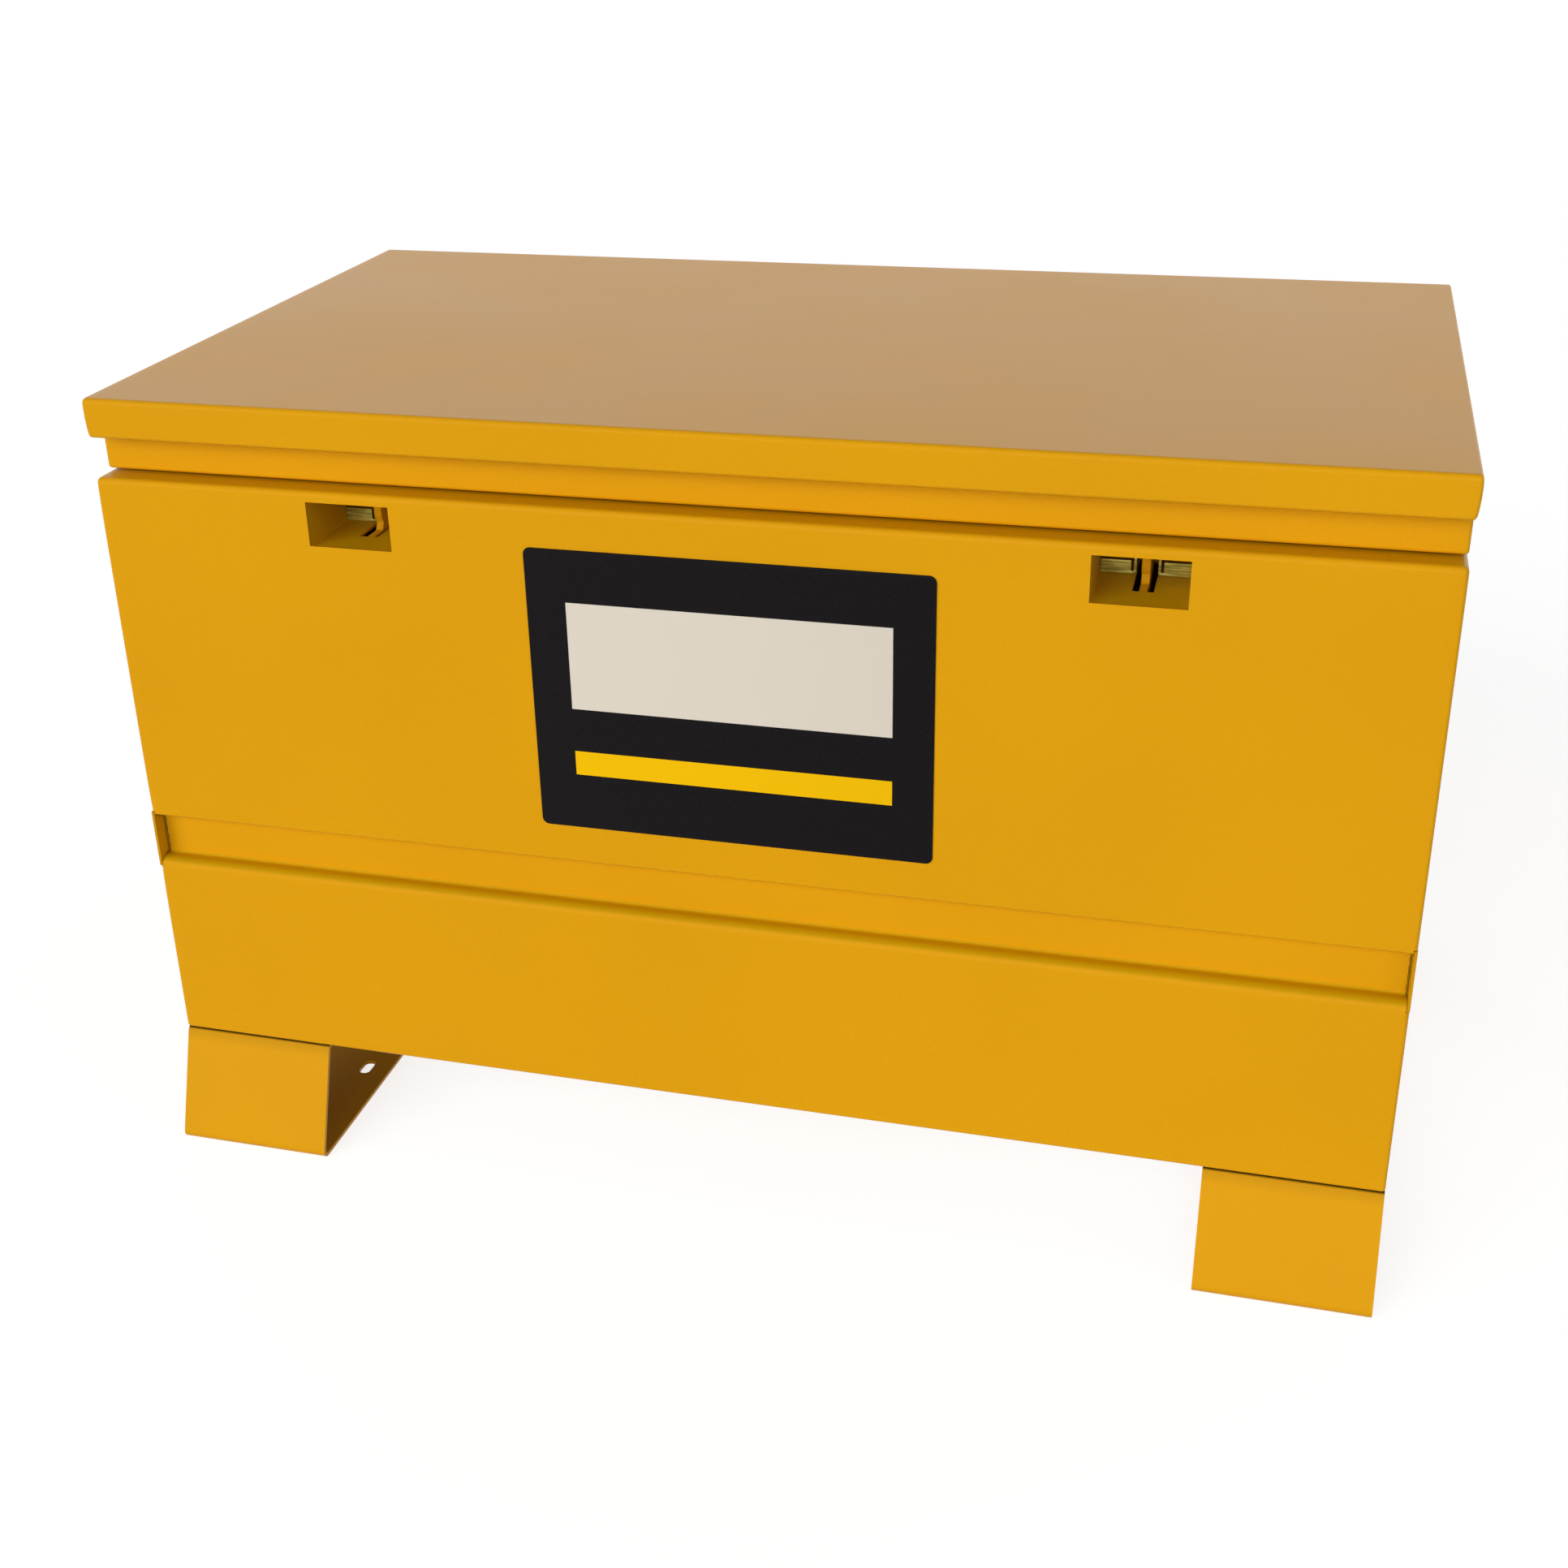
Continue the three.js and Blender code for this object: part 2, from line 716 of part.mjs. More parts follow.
function strutLidBracket(side) {
  const face = strutX + eyeWidth / 2 + bracketStandoff;
  const top = lidUnderside - seamGap;
  const section = foldedSheet([
    [face, lidPivot[1] - lidBracketDrop],
    [face, top],
    [face + bracketLeg, top],
  ].reverse(), bracketSheet, insideBend);
  const plate = prism("y", section, lidPivot[0] - bracketLength / 2, lidPivot[0] + bracketLength / 2);
  const tip = strutX + eyeWidth / 2 + seamGap;
  const stud = prism("x", circle(lidPivot, studRadius), tip, face + bracketSheet / 2);
  return part(side + "_strut_lid_bracket", join(plate, stud), zinc);
}

// Drop handles

function handlePivotZ() {
  return bodyTop - handleDrop;
}

function bailX() {
  return halfWidth + seamGap + handlePlateSheet + bailClearance + bailRadius;
}

function handlePlate(side) {
  const inner = halfWidth + seamGap;
  const outer = inner + handlePlateSheet;
  const [x, z] = [bailX(), handlePivotZ()];
  const outline = rounded(rectangle(
    [-handlePlateWidth / 2, z + handlePlateTop - handlePlateHeight],
    [handlePlateWidth / 2, z + handlePlateTop],
  ), handlePlateRadius);
  const holes = handleBoltPlaces().map((place) => circle(place, boltRadius + seamGap, smallSides));
  const reach = bailRadius + seamGap + earWall;
  const bore = bailRadius + seamGap;
  const ears = [[-earOuter, -earInner], [earInner, earOuter]].flatMap(([from, to]) => [
    prism("y", circle([x, z], reach), from, to),
    block([inner + seamGap, x], [from, to], [z - reach, z + reach]),
  ]);
  const plate = prism("x", outline, inner, outer, holes);
  const tunnels = prism("y", circle([x, z], bore), -earOuter - seamGap, earOuter + seamGap);
  const solid = join(plate, ...ears);
  return part(side + "_handle_plate", cut(solid, tunnels), paint);
}

function handleBail(side) {
  const z = handlePivotZ();
  const half = bailSpan / 2;
  const grip = z - bailDrop;
  const path = [[-pinEnd, z], [-half, z], [-half, grip], [half, grip], [half, z], [pinEnd, z]];
  return part(side + "_handle_bail", bentBar(path, bailBend, bailRadius, bailX()), paint);
}

function handleBolt(side, number, place) {
  const head = halfWidth + 2 * seamGap + handlePlateSheet;
  const inside = endInner - seamGap;
  const bolt = join(
    prism("x", circle(place, boltHeadRadius), head, head + boltHead),
    prism("x", circle(place, boltRadius, smallSides), inside - nutHeight, head + boltHead / 2),
    prism("x", circle(place, nutRadius, smallSides / 2), inside - nutHeight, inside),
  );
  return part(side + "_handle_bolt_" + number, bolt, zinc);
}

// Assembly: the right-hand half is made twice, once mirrored

function strut(side) {
  const group = new THREE.Group();
  group.position.set(strutX, ...bodyPivot);
  group.rotation.x = closedAngle;
  group.add(strutTube(side), strutRod(side));
  return group;
}

function halfBox(side, mirror) {
  const group = new THREE.Group();
  group.scale.x = mirror;
  group.add(
    endPanel(side),
    skid(side),
    lockPocket(side),
    keeper(side, "inner", -1),
    keeper(side, "outer", 1),
    lockTongue(side),
    lidEnd(side),
    strutBodyBracket(side),
    strutLidBracket(side),
    strut(side),
    handlePlate(side),
    handleBail(side),
  );
  handleBoltPlaces().forEach((place, i) => group.add(handleBolt(side, i + 1, place)));
  return group;
}

const storageBox = new THREE.Group();
storageBox.add(
  frontPanel(),
  backPanel(),
  floorPanel(),
  frontLabel(),
  lidSkin(),
  lidRib(),
  hingeLeafOf("hinge_body_leaf", -1, 0),
  hingeLeafOf("hinge_lid_leaf", 1, 1),
  hingePin(),
  halfBox("right", 1),
  halfBox("left", -1),
);

export default storageBox;
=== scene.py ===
"""A jobsite storage box of folded yellow sheet, with lock keepers, a long hinge, struts and handles."""
import math

import bmesh
import bpy
import numpy as np
from mathutils import Matrix, Vector


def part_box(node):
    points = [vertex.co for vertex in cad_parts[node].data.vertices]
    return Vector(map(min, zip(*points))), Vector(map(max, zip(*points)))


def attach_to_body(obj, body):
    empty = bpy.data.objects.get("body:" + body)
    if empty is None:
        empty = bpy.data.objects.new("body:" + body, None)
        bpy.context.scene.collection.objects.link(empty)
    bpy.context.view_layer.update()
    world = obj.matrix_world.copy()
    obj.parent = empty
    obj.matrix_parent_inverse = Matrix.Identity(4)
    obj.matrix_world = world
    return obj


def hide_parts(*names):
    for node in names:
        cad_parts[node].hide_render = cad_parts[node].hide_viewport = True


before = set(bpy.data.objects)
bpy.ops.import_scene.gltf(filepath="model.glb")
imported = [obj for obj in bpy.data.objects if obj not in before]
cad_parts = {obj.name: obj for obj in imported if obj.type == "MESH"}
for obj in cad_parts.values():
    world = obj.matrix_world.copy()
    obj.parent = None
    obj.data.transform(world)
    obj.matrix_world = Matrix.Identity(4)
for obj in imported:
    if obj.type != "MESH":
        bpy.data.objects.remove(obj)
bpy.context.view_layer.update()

MM = 0.001
HAIR = 0.1 * MM
MERGE_DISTANCE = 0.001 * MM

# Planes of the box, read from the frame
front_low, front_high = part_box("front_panel")
FRONT, BODY_LOW = front_low.y, front_low.z
LEDGE_BACK, BODY_TOP = front_high.y, front_high.z
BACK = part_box("back_panel")[1].y
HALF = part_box("right_end_panel")[1].x
LID_LOW, LID_TOP = (corner.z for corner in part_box("lid_skin"))
LID_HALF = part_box("right_lid_end")[1].x

# Folded sheet
SHEET = 2 * MM
INSIDE_BEND = 2 * MM
BEND = SHEET + INSIDE_BEND
TIGHT_BEND = 2.6 * MM
SEAM = 0.3 * MM
STEP = 0.35 * MM
SUPPORT = 0.7 * MM
CORNER = 2.4 * MM
CORNER_SOFT = 3.7 * MM
CORNER_SPREAD = 14 * MM
CORNER_ROWS = (6 * MM, 12 * MM, 24 * MM, 45 * MM)
HEM = 10 * MM
REAR_RIM = 18 * MM
END_RIM = 22 * MM
FLANGE = 25 * MM
CUT_EDGE = 0.3 * MM
STOP_INSET = 8 * MM

# Steps of round forms, and the angles in degrees past which shading is sharp or edges are rounded
CORNER_STEPS = 5
TURNED_SIDES = 40
BAR_SIDES = 24
WELD_SIDES = 10
SHARP_ANGLE = 32
PLATE_SHARP_ANGLE = 28
SOFTEN_ANGLE = 50

# Groove across the front
GROOVE_LOW = BODY_LOW + 146.1 * MM
GROOVE_HIGH = GROOVE_LOW + 43.6 * MM
GROOVE_DEPTH = 12.5 * MM
GROOVE_FLANK = 6 * MM
GROOVE_LIP = 6.4 * MM
GROOVE_SHELF = GROOVE_LOW + GROOVE_FLANK
GROOVE_TURN = math.atan2(GROOVE_DEPTH, GROOVE_FLANK)
GROOVE_EDGE_HIGH = GROOVE_HIGH + TIGHT_BEND * math.tan(GROOVE_TURN / 2) + SUPPORT
GROOVE_EDGE_LOW = GROOVE_SHELF - GROOVE_LIP - SUPPORT
# Length at each groove end over which painted shade darkens the recess
GROOVE_SHADE_LENGTH = 22 * MM
WELD_RADIUS = 0.8 * MM
WELD_STEPS = 64

# Lid edges and rib
BAND = 28 * MM
SKIRT_SETBACK = 17.5 * MM
LID_HEM = 9 * MM
LID_INSET = CORNER + 2 * HAIR
LID_ROWS = (9 * MM, 15 * MM, 20 * MM, 24 * MM)
LID_DRAW = 1.6 * MM
LID_WIDEST_SHARE = 0.35
LID_EDGE_BEND = 3.6 * MM
RIB_HALF = 22 * MM
RIB_FOOT = 16 * MM
RIB_LEAN = 5 * MM

# Skids
SKID_SHEET = 3 * MM
SKID_BEND = 3 * MM
SKID_TOE_REACH = 1.4 * MM
skid_low, skid_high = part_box("right_skid")
SKID_HEIGHT = skid_high.z
SKID_INNER, SKID_TOE = skid_low.x, skid_low.y
SKID_SETBACK = 1.7 * MM
SKID_FLANGE = 40 * MM
HOLE_WIDTH = 9.5 * MM
HOLE_LENGTH = 18.3 * MM
HOLE_SPACING = 81.5 * MM
HOLE_ROW_SPACING = 95.3 * MM
HOLE_INSET = 47.15 * MM
HOLE_WINDOW = 11 * MM
HOLE_WINDOW_CELLS = 8
SKID_SHADOW = 2.6 * MM

# Padlock pockets
pocket_low, pocket_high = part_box("right_lock_pocket")
POCKET_X = (pocket_low.x + pocket_high.x) / 2
POCKET_HALF = 30.5 * MM
POCKET_FLOOR = pocket_low.z + SHEET
POCKET_CEILING = pocket_high.z - SHEET
POCKET_REAR = pocket_high.y - SHEET
OPENING_TOP = BODY_TOP - 7.5 * MM
OPENING_LOW = OPENING_TOP - 31.6 * MM
SLOT_HALF = 6.8 * MM
SLOT_FRONT = FRONT + 28.8 * MM
SLOT_BACK = FRONT + 88 * MM
LEDGE_SLOT_FRONT = FRONT + 25.6 * MM
KEEPER_SHEET = 1.9 * MM
KEEPER_FRONT, KEEPER_BACK = (corner.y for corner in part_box("right_lock_keeper_inner"))
GUARD_HEIGHT = 9.4 * MM
GUARD_SLIT = 1.7 * MM
GUARD_WEB = 2 * MM
SHACKLE_RADIUS = 6 * MM
SHACKLE_Y = FRONT + 67 * MM
SHACKLE_Z = POCKET_FLOOR + 17 * MM
TONGUE_HALF = 2.75 * MM
TONGUE_FOOT = 3 * MM

# Long hinge behind the lid
pin_low, pin_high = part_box("hinge_pin")
PIN_RADIUS = (pin_high.z - pin_low.z) / 2
PIN_Y = (pin_low.y + pin_high.y) / 2
PIN_Z = (pin_low.z + pin_high.z) / 2
HINGE_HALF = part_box("hinge_lid_leaf")[1].x
HINGE_SHEET = 1.8 * MM
HINGE_LEAF = 32 * MM
KNUCKLE_RADIUS = 5.3 * MM
KNUCKLES = 12
KNUCKLE_GAP = 0.6 * MM
KNUCKLE_CURL = 285

# Gas struts
EYE_RADIUS = 9 * MM
EYE_HALF = 7.75 * MM
STRUT_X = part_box("right_strut_cylinder")[1].x - EYE_HALF
STUD_RADIUS = 4 * MM
ROD_RADIUS = 4 * MM
STRUT_PIVOT = np.array([PIN_Y - 50.3 * MM, PIN_Z - 30.7 * MM])
STRUT_END = np.array([PIN_Y - 231.5 * MM, PIN_Z + 30.1 * MM])
STRUT_LENGTH = float(np.hypot(*(STRUT_END - STRUT_PIVOT)))
STRUT_AIM = (STRUT_END - STRUT_PIVOT) / STRUT_LENGTH
TUBE_MOUTH = STRUT_LENGTH - 26 * MM
ROD_INSIDE = 113.2 * MM
BRACKET_SHEET = 2 * MM
BRACKET_HALF = 15 * MM
BRACKET_FACE = STRUT_X + EYE_HALF + 3 * MM

# Outlines of the barrel and the rod in mm: a radius, and a distance from the barrel's start, back from its
# mouth or back from the rod's end
BARREL_START = ((4.6, 0), (5.4, 0.5), (5.4, 5), (6.5, 6), (7.5, 7.2))
BARREL_MOUTH = (
    (7.5, 9), (7, 8.4), (6.8, 7.6), (7, 6.8), (7.5, 6.2), (7.5, 1.6), (7, 0.6), (5.9, 0), (5.2, 0), (5, 0.6),
    (4.3, 0.7), (4.3, 6), (6, 6),
)
ROD_END = ((4, 19), (4, 18.9), (5.4, 18.5), (5.8, 17.8), (5.8, 6))

# Drop handles
HANDLE_Z = 438.3 * MM
BAIL_RADIUS = 5 * MM
BAIL_HALF = 61 * MM
BAIL_DROP = 52 * MM
BAIL_BEND = 10 * MM
BAIL_PIN = 28 * MM
BAIL_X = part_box("right_handle_bail")[1].x - BAIL_RADIUS
PLATE_INNER = HALF + SEAM
PLATE_SHEET = 2.5 * MM
PLATE_HALF = 78 * MM
PLATE_TOP = HANDLE_Z + 20 * MM
PLATE_LOW = PLATE_TOP - 84 * MM
BOLT_INSET = 9 * MM
EAR_SPAN = (32 * MM, 50 * MM)
EAR_WALL = 2.8 * MM

# Camera fitted to the photograph; its turns are yaw, pitch and roll in degrees
CAMERA_PLACE = (352.61 * MM, -1445.49 * MM, 963.93 * MM)
CAMERA_TURNS = (15.8641, 64.5879, -1.5058)
CAMERA_LENS = 46.5
CAMERA_SHIFT = (0.021478, -0.018615)

# Paint and metal colours, in linear light. The inside, ledge, shade and crevice colours are painted shade
YELLOW = (0.80, 0.376, 0.004)
YELLOW_THIN = (0.50, 0.24, 0.006)
YELLOW_INSIDE_SHADE = (0.68, 0.375, 0.002)
YELLOW_LEDGE_SHADE = (0.60, 0.33, 0.001)
YELLOW_SHADE = (0.50, 0.25, 0.001)
CREVICE_SHADE = (0.035, 0.024, 0.001)
WELD_BROWN = (0.27, 0.145, 0.003)
ZINC = (0.76, 0.69, 0.15)
ZINC_TINT = (0.36, 0.32, 0.06)
STEEL = (0.60, 0.61, 0.63)
STEEL_TINT = (0.54, 0.55, 0.58)
PAINT_BLACK = (0.012, 0.012, 0.013)
CREAM = (0.79, 0.72, 0.61)
GRAZING_GLOSS = 0.60
BLACK = (0.0085, 0.0075, 0.0085)
BLACK_GRAIN = (0.012, 0.0105, 0.0115)
LABEL_YELLOW = (0.98, 0.56, 0.003)

# Noise scales per metre
PEEL_SCALE = 620.0
SPECK_SCALE = 1900.0
DRIFT_SCALE = 5.0
FILM_GRAIN_SCALE = 900.0
METAL_GRAIN_SCALE = 1500.0
DRAWN_SCALES = (45.0, 1100.0, 1100.0)

# Plain fields printed on the label: low and high edge from its middle, and colour
LABEL_FIELD_HALF = 112 * MM
LABEL_FIELDS = ((-12 * MM, 66 * MM, CREAM), (-62 * MM, -44 * MM, LABEL_YELLOW))
PRINT_SOFTNESS = 0.15 * MM

# Studio. A lamp's row is its name, where it stands, its width in degrees, its strength, and whether gloss
# shows it
WORLD_STRENGTH = 0.135
FLOOR_COLOUR = (0.50, 0.50, 0.50)
FLOOR_GLOW = 0.80
FLOOR_REACH = 60.0
LAMPS = (
    ("front light", (-0.35, -1.0, 0.03), 79, 4.22, False),
    ("side fill", (1.0, -0.8, 0.1), 70, 0.55, True),
    ("left back light", (-1.0, 0.9, 0.03), 30, 1.0, False),
    ("right back light", (1.0, 0.9, 0.03), 30, 1.0, False),
)


# Curves and outlines

def unit(vectors):
    return vectors / np.linalg.norm(vectors, axis=-1, keepdims=True)


def turn_between(first, second):
    """The signed angle from one unit direction to another."""
    return math.atan2(first[0] * second[1] - first[1] * second[0], float(first @ second))


def arc_from(start, left, turn, radius, steps):
    """An arc from start: centre -+ r*normal, where the normal turns evenly by turn, from left on."""
    side = math.copysign(1.0, turn)
    centre = start + left * side * radius
    angle = turn * np.linspace(0, 1, steps + 1)[:, None]
    normals = np.cos(angle) * left + np.sin(angle) * left @ np.array([[0, 1], [-1, 0]])
    return centre - side * radius * normals, normals


def fold_line(path, radii, breaks=(), steps=6, support=SUPPORT):
    """A folded sheet's face in a plane: points, unit normals towards the metal (left), and a stretch number.

    A corner that turns by t becomes an arc of radius r that starts r*tan(t/2) before it. Straight stretches
    keep a point close to each end and one at each break, a distance from the stretch's first corner. Arcs
    have half numbers.
    """
    path = np.asarray(path, float)
    ahead = unit(np.diff(path, axis=0))
    left = np.stack([-ahead[:, 1], ahead[:, 0]], axis=1)
    points, normals, stretch = [], [], []
    start = path[0]
    for i in range(len(ahead)):
        last = i == len(ahead) - 1
        turn = 0.0 if last else turn_between(ahead[i], ahead[i + 1])
        radius = 0.0 if last else radii[i]
        reach = radius * math.tan(abs(turn) / 2)
        end = path[i + 1] - ahead[i] * reach
        length = float(np.linalg.norm(end - start))
        offset = float(np.linalg.norm(start - path[i]))
        inner = [support, length - support] if length > 3 * support else []
        inner += [b - offset for b in dict(breaks).get(i, ())]
        along = np.array([0.0] * (i == 0) + sorted(inner) + [length] * last)
        points.append(start + along[:, None] * ahead[i])
        normals.append(np.repeat(left[i][None], len(along), axis=0))
        stretch.append(np.full(len(along), float(i)))
        if not last:
            arc_points, arc_normals = arc_from(end, left[i], turn, radius, steps)
            points.append(arc_points)
            normals.append(arc_normals)
            stretch.append(np.full(steps + 1, i + 0.5))
            start = arc_points[-1]
    return np.concatenate(points), np.concatenate(normals), np.concatenate(stretch)


def rounded(corners, radii, steps=7):
    """A closed outline whose corners are arcs, as in fold_line, all the way round."""
    corners = np.asarray(corners, float)
    arcs = []
    for i, radius in enumerate(np.broadcast_to(radii, len(corners))):
        here = corners[i]
        arriving, leaving = unit(here - corners[i - 1]), unit(corners[(i + 1) % len(corners)] - here)
        turn = turn_between(arriving, leaving)
        if radius == 0 or turn == 0:
            arcs.append(here[None])
            continue
        start = here - arriving * radius * math.tan(abs(turn) / 2)
        arcs.append(arc_from(start, np.array([-arriving[1], arriving[0]]), turn, radius, steps)[0])
    return np.concatenate(arcs)


def even_angles(sides):
    return 2 * math.pi * np.arange(sides) / sides


def ring(centre, radius, sides=32):
    """Points of a circle: centre + r*(cos a, sin a), a in even steps."""
    angle = even_angles(sides)
    return np.asarray(centre) + radius * np.stack([np.cos(angle), np.sin(angle)], axis=1)


def box_outline(low, high):
    return [(low[0], low[1]), (high[0], low[1]), (high[0], high[1]), (low[0], high[1])]


# Meshes

def surface(x, y, z):
    """Grid points (x, y, z) from three arrays that are stretched to one shape."""
    return np.stack(np.broadcast_arrays(x, y, z), axis=-1)


def grid_faces(rows, columns, keep=None, closed=False, flip=False):
    """Quads of a rows x columns grid, facing along (row direction) x (column direction) unless flipped."""
    index = np.arange(rows * columns).reshape(rows, columns)
    if closed:
        index = np.concatenate([index, index[:, :1]], axis=1)
    quads = np.stack([index[:-1, :-1], index[1:, :-1], index[1:, 1:], index[:-1, 1:]], axis=-1)
    quads = quads[keep] if keep is not None else quads.reshape(-1, 4)
    return quads[:, ::-1] if flip else quads


def add_object(name, data):
    piece = bpy.data.objects.new(name, data)
    bpy.context.scene.collection.objects.link(piece)
    return piece


def new_mesh(name, points, faces, materials, sharp=SHARP_ANGLE):
    """A mesh object from points and faces; loose points are dropped and faces meet sharply past an angle."""
    points = np.asarray(points, float).reshape(-1, 3)
    lists = [face for block in faces for face in np.asarray(block).tolist()]
    used = np.unique(np.concatenate([np.asarray(block).ravel() for block in faces]))
    order = np.full(len(points), -1)
    order[used] = np.arange(len(used))
    mesh = bpy.data.meshes.new(name)
    mesh.from_pydata(points[used].tolist(), [], [[int(order[v]) for v in face] for face in lists])
    mesh.validate()
    mesh.shade_smooth()
    mesh.set_sharp_from_angle(angle=math.radians(sharp))
    for look in materials:
        mesh.materials.append(look)
    return add_object(name, mesh)


def thicken(piece, sheet, outward=False, edge=CUT_EDGE, inner_slot=0):
    """Gives a sheet its thickness, away from its face unless outward, and breaks its cut edges."""
    solid = piece.modifiers.new("sheet thickness", "SOLIDIFY")
    solid.thickness = sheet
    solid.offset = 1 if outward else -1
    solid.use_even_offset = True
    solid.material_offset = inner_slot
    solid.material_offset_rim = 1
    return soften(piece, edge)


def soften(piece, width):
    """Rounds edges that are sharper than SOFTEN_ANGLE."""
    bevel = piece.modifiers.new("broken edges", "BEVEL")
    bevel.width = width
    bevel.segments = 2
    bevel.limit_method = "ANGLE"
    bevel.angle_limit = math.radians(SOFTEN_ANGLE)
    bevel.harden_normals = True
    bevel.use_clamp_overlap = True
    return piece


def attach(piece, body, slot, *nodes):
    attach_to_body(piece, body)
    if nodes:
        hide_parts(*nodes)
    return piece


def sheet_piece(name, points, materials, body, node, keep=None, flip=False, sheet=SHEET, **thickness):
    """A painted sheet that stands in for a node: its face from a grid of points, its metal from thicken."""
    faces = grid_faces(*points.shape[:2], keep, flip=flip)
    piece = new_mesh(name, points, [faces], materials)
    return attach(thicken(piece, sheet, **thickness), body, "body_paint", node)


def loft(name, rings, materials, sharp=SHARP_ANGLE):
    """A skin through rings of equal count, with flat ends: P(i, a) = ring i at angle a."""
    rings = np.asarray(rings, float)
    count, sides = rings.shape[:2]
    first, last = np.arange(sides), np.arange(count * sides - sides, count * sides)
    faces = [grid_faces(count, sides, closed=True), first[None], last[None, ::-1]]
    return new_mesh(name, rings, faces, materials, sharp)


def plate(name, axis, outlines, levels, materials, edge=0.4 * MM):
    """A flat plate between two levels of an axis, holes included, its edges rounded.

    The first outline is the rim and the others are holes; the fill between them comes from a flat curve.
    Outlines are given as (y, z) across x, (x, z) across y and (x, y) across z.
    """
    low, high = levels
    curve = bpy.data.curves.new(name, "CURVE")
    curve.dimensions = "2D"
    curve.fill_mode = "BOTH"
    curve.extrude = (high - low) / 2 - edge
    curve.bevel_depth = edge
    curve.bevel_resolution = 1
    curve.offset = -edge
    for outline in outlines:
        spline = curve.splines.new("POLY")
        spline.points.add(len(outline) - 1)
        flat = np.concatenate([outline, np.zeros((len(outline), 1)), np.ones((len(outline), 1))], axis=1)
        spline.points.foreach_set("co", flat.ravel())
        spline.use_cyclic_u = True
    holder = bpy.data.objects.new(name, curve)
    mesh = holder.to_mesh().copy()
    holder.to_mesh_clear()
    bpy.data.objects.remove(holder)
    points = np.zeros(len(mesh.vertices) * 3)
    mesh.vertices.foreach_get("co", points)
    points = points.reshape(-1, 3)
    placed = np.insert(points[:, :2], "xyz".index(axis), points[:, 2] + (low + high) / 2, axis=1)
    mesh.vertices.foreach_set("co", placed.ravel())
    if axis == "y":
        mesh.flip_normals()
    mesh.materials.clear()
    for look in materials:
        mesh.materials.append(look)
    merge(mesh)
    mesh.shade_smooth()
    mesh.set_sharp_from_angle(angle=math.radians(PLATE_SHARP_ANGLE))
    return add_object(name, mesh)


def merge(mesh):
    """Joins doubled points, so that a shell is closed."""
    work = bmesh.new()
    work.from_mesh(mesh)
    bmesh.ops.remove_doubles(work, verts=work.verts, dist=MERGE_DISTANCE)
    work.to_mesh(mesh)
    work.free()


def joined(name, pieces):
    """One object from several, in the order given."""
    depsgraph = bpy.context.evaluated_depsgraph_get()
    meshes = [bpy.data.meshes.new_from_object(piece.evaluated_get(depsgraph)) for piece in pieces]
    work = bmesh.new()
    for mesh in meshes:
        work.from_mesh(mesh)
    whole = bpy.data.meshes.new(name)
    work.to_mesh(whole)
    work.free()
    for look in meshes[0].materials:
        whole.materials.append(look)
    for piece in pieces:
        bpy.data.objects.remove(piece)
    return add_object(name, whole)


def turned(name, origin, direction, profile, materials):
    """A round body about an axis in the (y, z) plane: P(i, a) = origin + u*h(i) + r(i)*(cos a, sin a)."""
    profile = np.asarray(profile, float)
    along = np.array([0.0, direction[0], direction[1]])
    across = np.array([1.0, 0.0, 0.0])
    angle = even_angles(TURNED_SIDES)
    spoke = np.cos(angle)[:, None] * across + np.sin(angle)[:, None] * np.cross(along, across)
    rings = origin + profile[:, 1, None, None] * along + profile[:, 0, None, None] * spoke
    return loft(name, rings[::-1], materials)


def round_across(name, x, radius, centre, side, sides, materials, sharp=SHARP_ANGLE):
    """A round body about an axis across x: P(i, a) = (side*x(i), centre + r(i)*(cos a, sin a))."""
    plane = np.asarray(centre) + np.asarray(radius)[:, None, None] * ring((0, 0), 1.0, sides)
    rings = surface(side * np.asarray(x)[:, None], plane[..., 0], plane[..., 1])
    return loft(name, rings[::-1] if side > 0 else rings, materials, sharp)


def bar(path, radius, bend):
    """Rings of a round bar along a bent plane path: P(s, a) = p(s) + r*(n(s) cos a + x sin a)."""
    points, normals, _ = fold_line(path, [bend] * (len(path) - 2), steps=8, support=1.5 * MM)
    angle = even_angles(BAR_SIDES)
    flat = points[:, None] + radius * np.cos(angle)[None, :, None] * normals[:, None]
    return flat, np.broadcast_to(radius * np.sin(angle), flat.shape[:2])


def mirrored(points, side):
    """Turns right-hand points into the left-hand ones."""
    return points * np.array([side, 1, 1])


def on_side(side, first, second):
    """Two right-hand levels along x on the given side, the lower one first."""
    return sorted((side * first, side * second))


# Shader groups

def node_group(name, inputs):
    """A group with the given inputs and defaults, which puts out a colour, a roughness and a height."""
    tree = bpy.data.node_groups.new(name, "ShaderNodeTree")
    for label, value in inputs.items():
        colour = isinstance(value, tuple)
        kind = "NodeSocketColor" if colour else "NodeSocketFloat"
        socket = tree.interface.new_socket(name=label, in_out="INPUT", socket_type=kind)
        socket.default_value = (*value, 1.0) if colour else value
    for label, kind in (("Colour", "Color"), ("Roughness", "Float"), ("Height", "Float")):
        tree.interface.new_socket(name=label, in_out="OUTPUT", socket_type="NodeSocket" + kind)
    return tree, tree.nodes.new("NodeGroupInput"), tree.nodes.new("NodeGroupOutput")


def plug(tree, socket, value):
    """Gives a socket a number, a colour or what another node puts out."""
    if isinstance(value, (int, float)):
        socket.default_value = value
    elif isinstance(value, tuple):
        socket.default_value = (*value, 1.0) if socket.type == "RGBA" else value
    else:
        tree.links.new(value, socket)


def feed(tree, node, **values):
    """Plugs values into a node's inputs by their names, written with _ for a blank."""
    for label, value in values.items():
        plug(tree, node.inputs[label.replace("_", " ")], value)
    return node


def noise(tree, place, scale, detail=2.0, roughness=0.5):
    node = tree.nodes.new("ShaderNodeTexNoise")
    return feed(tree, node, Vector=place, Scale=scale, Detail=detail, Roughness=roughness).outputs["Fac"]


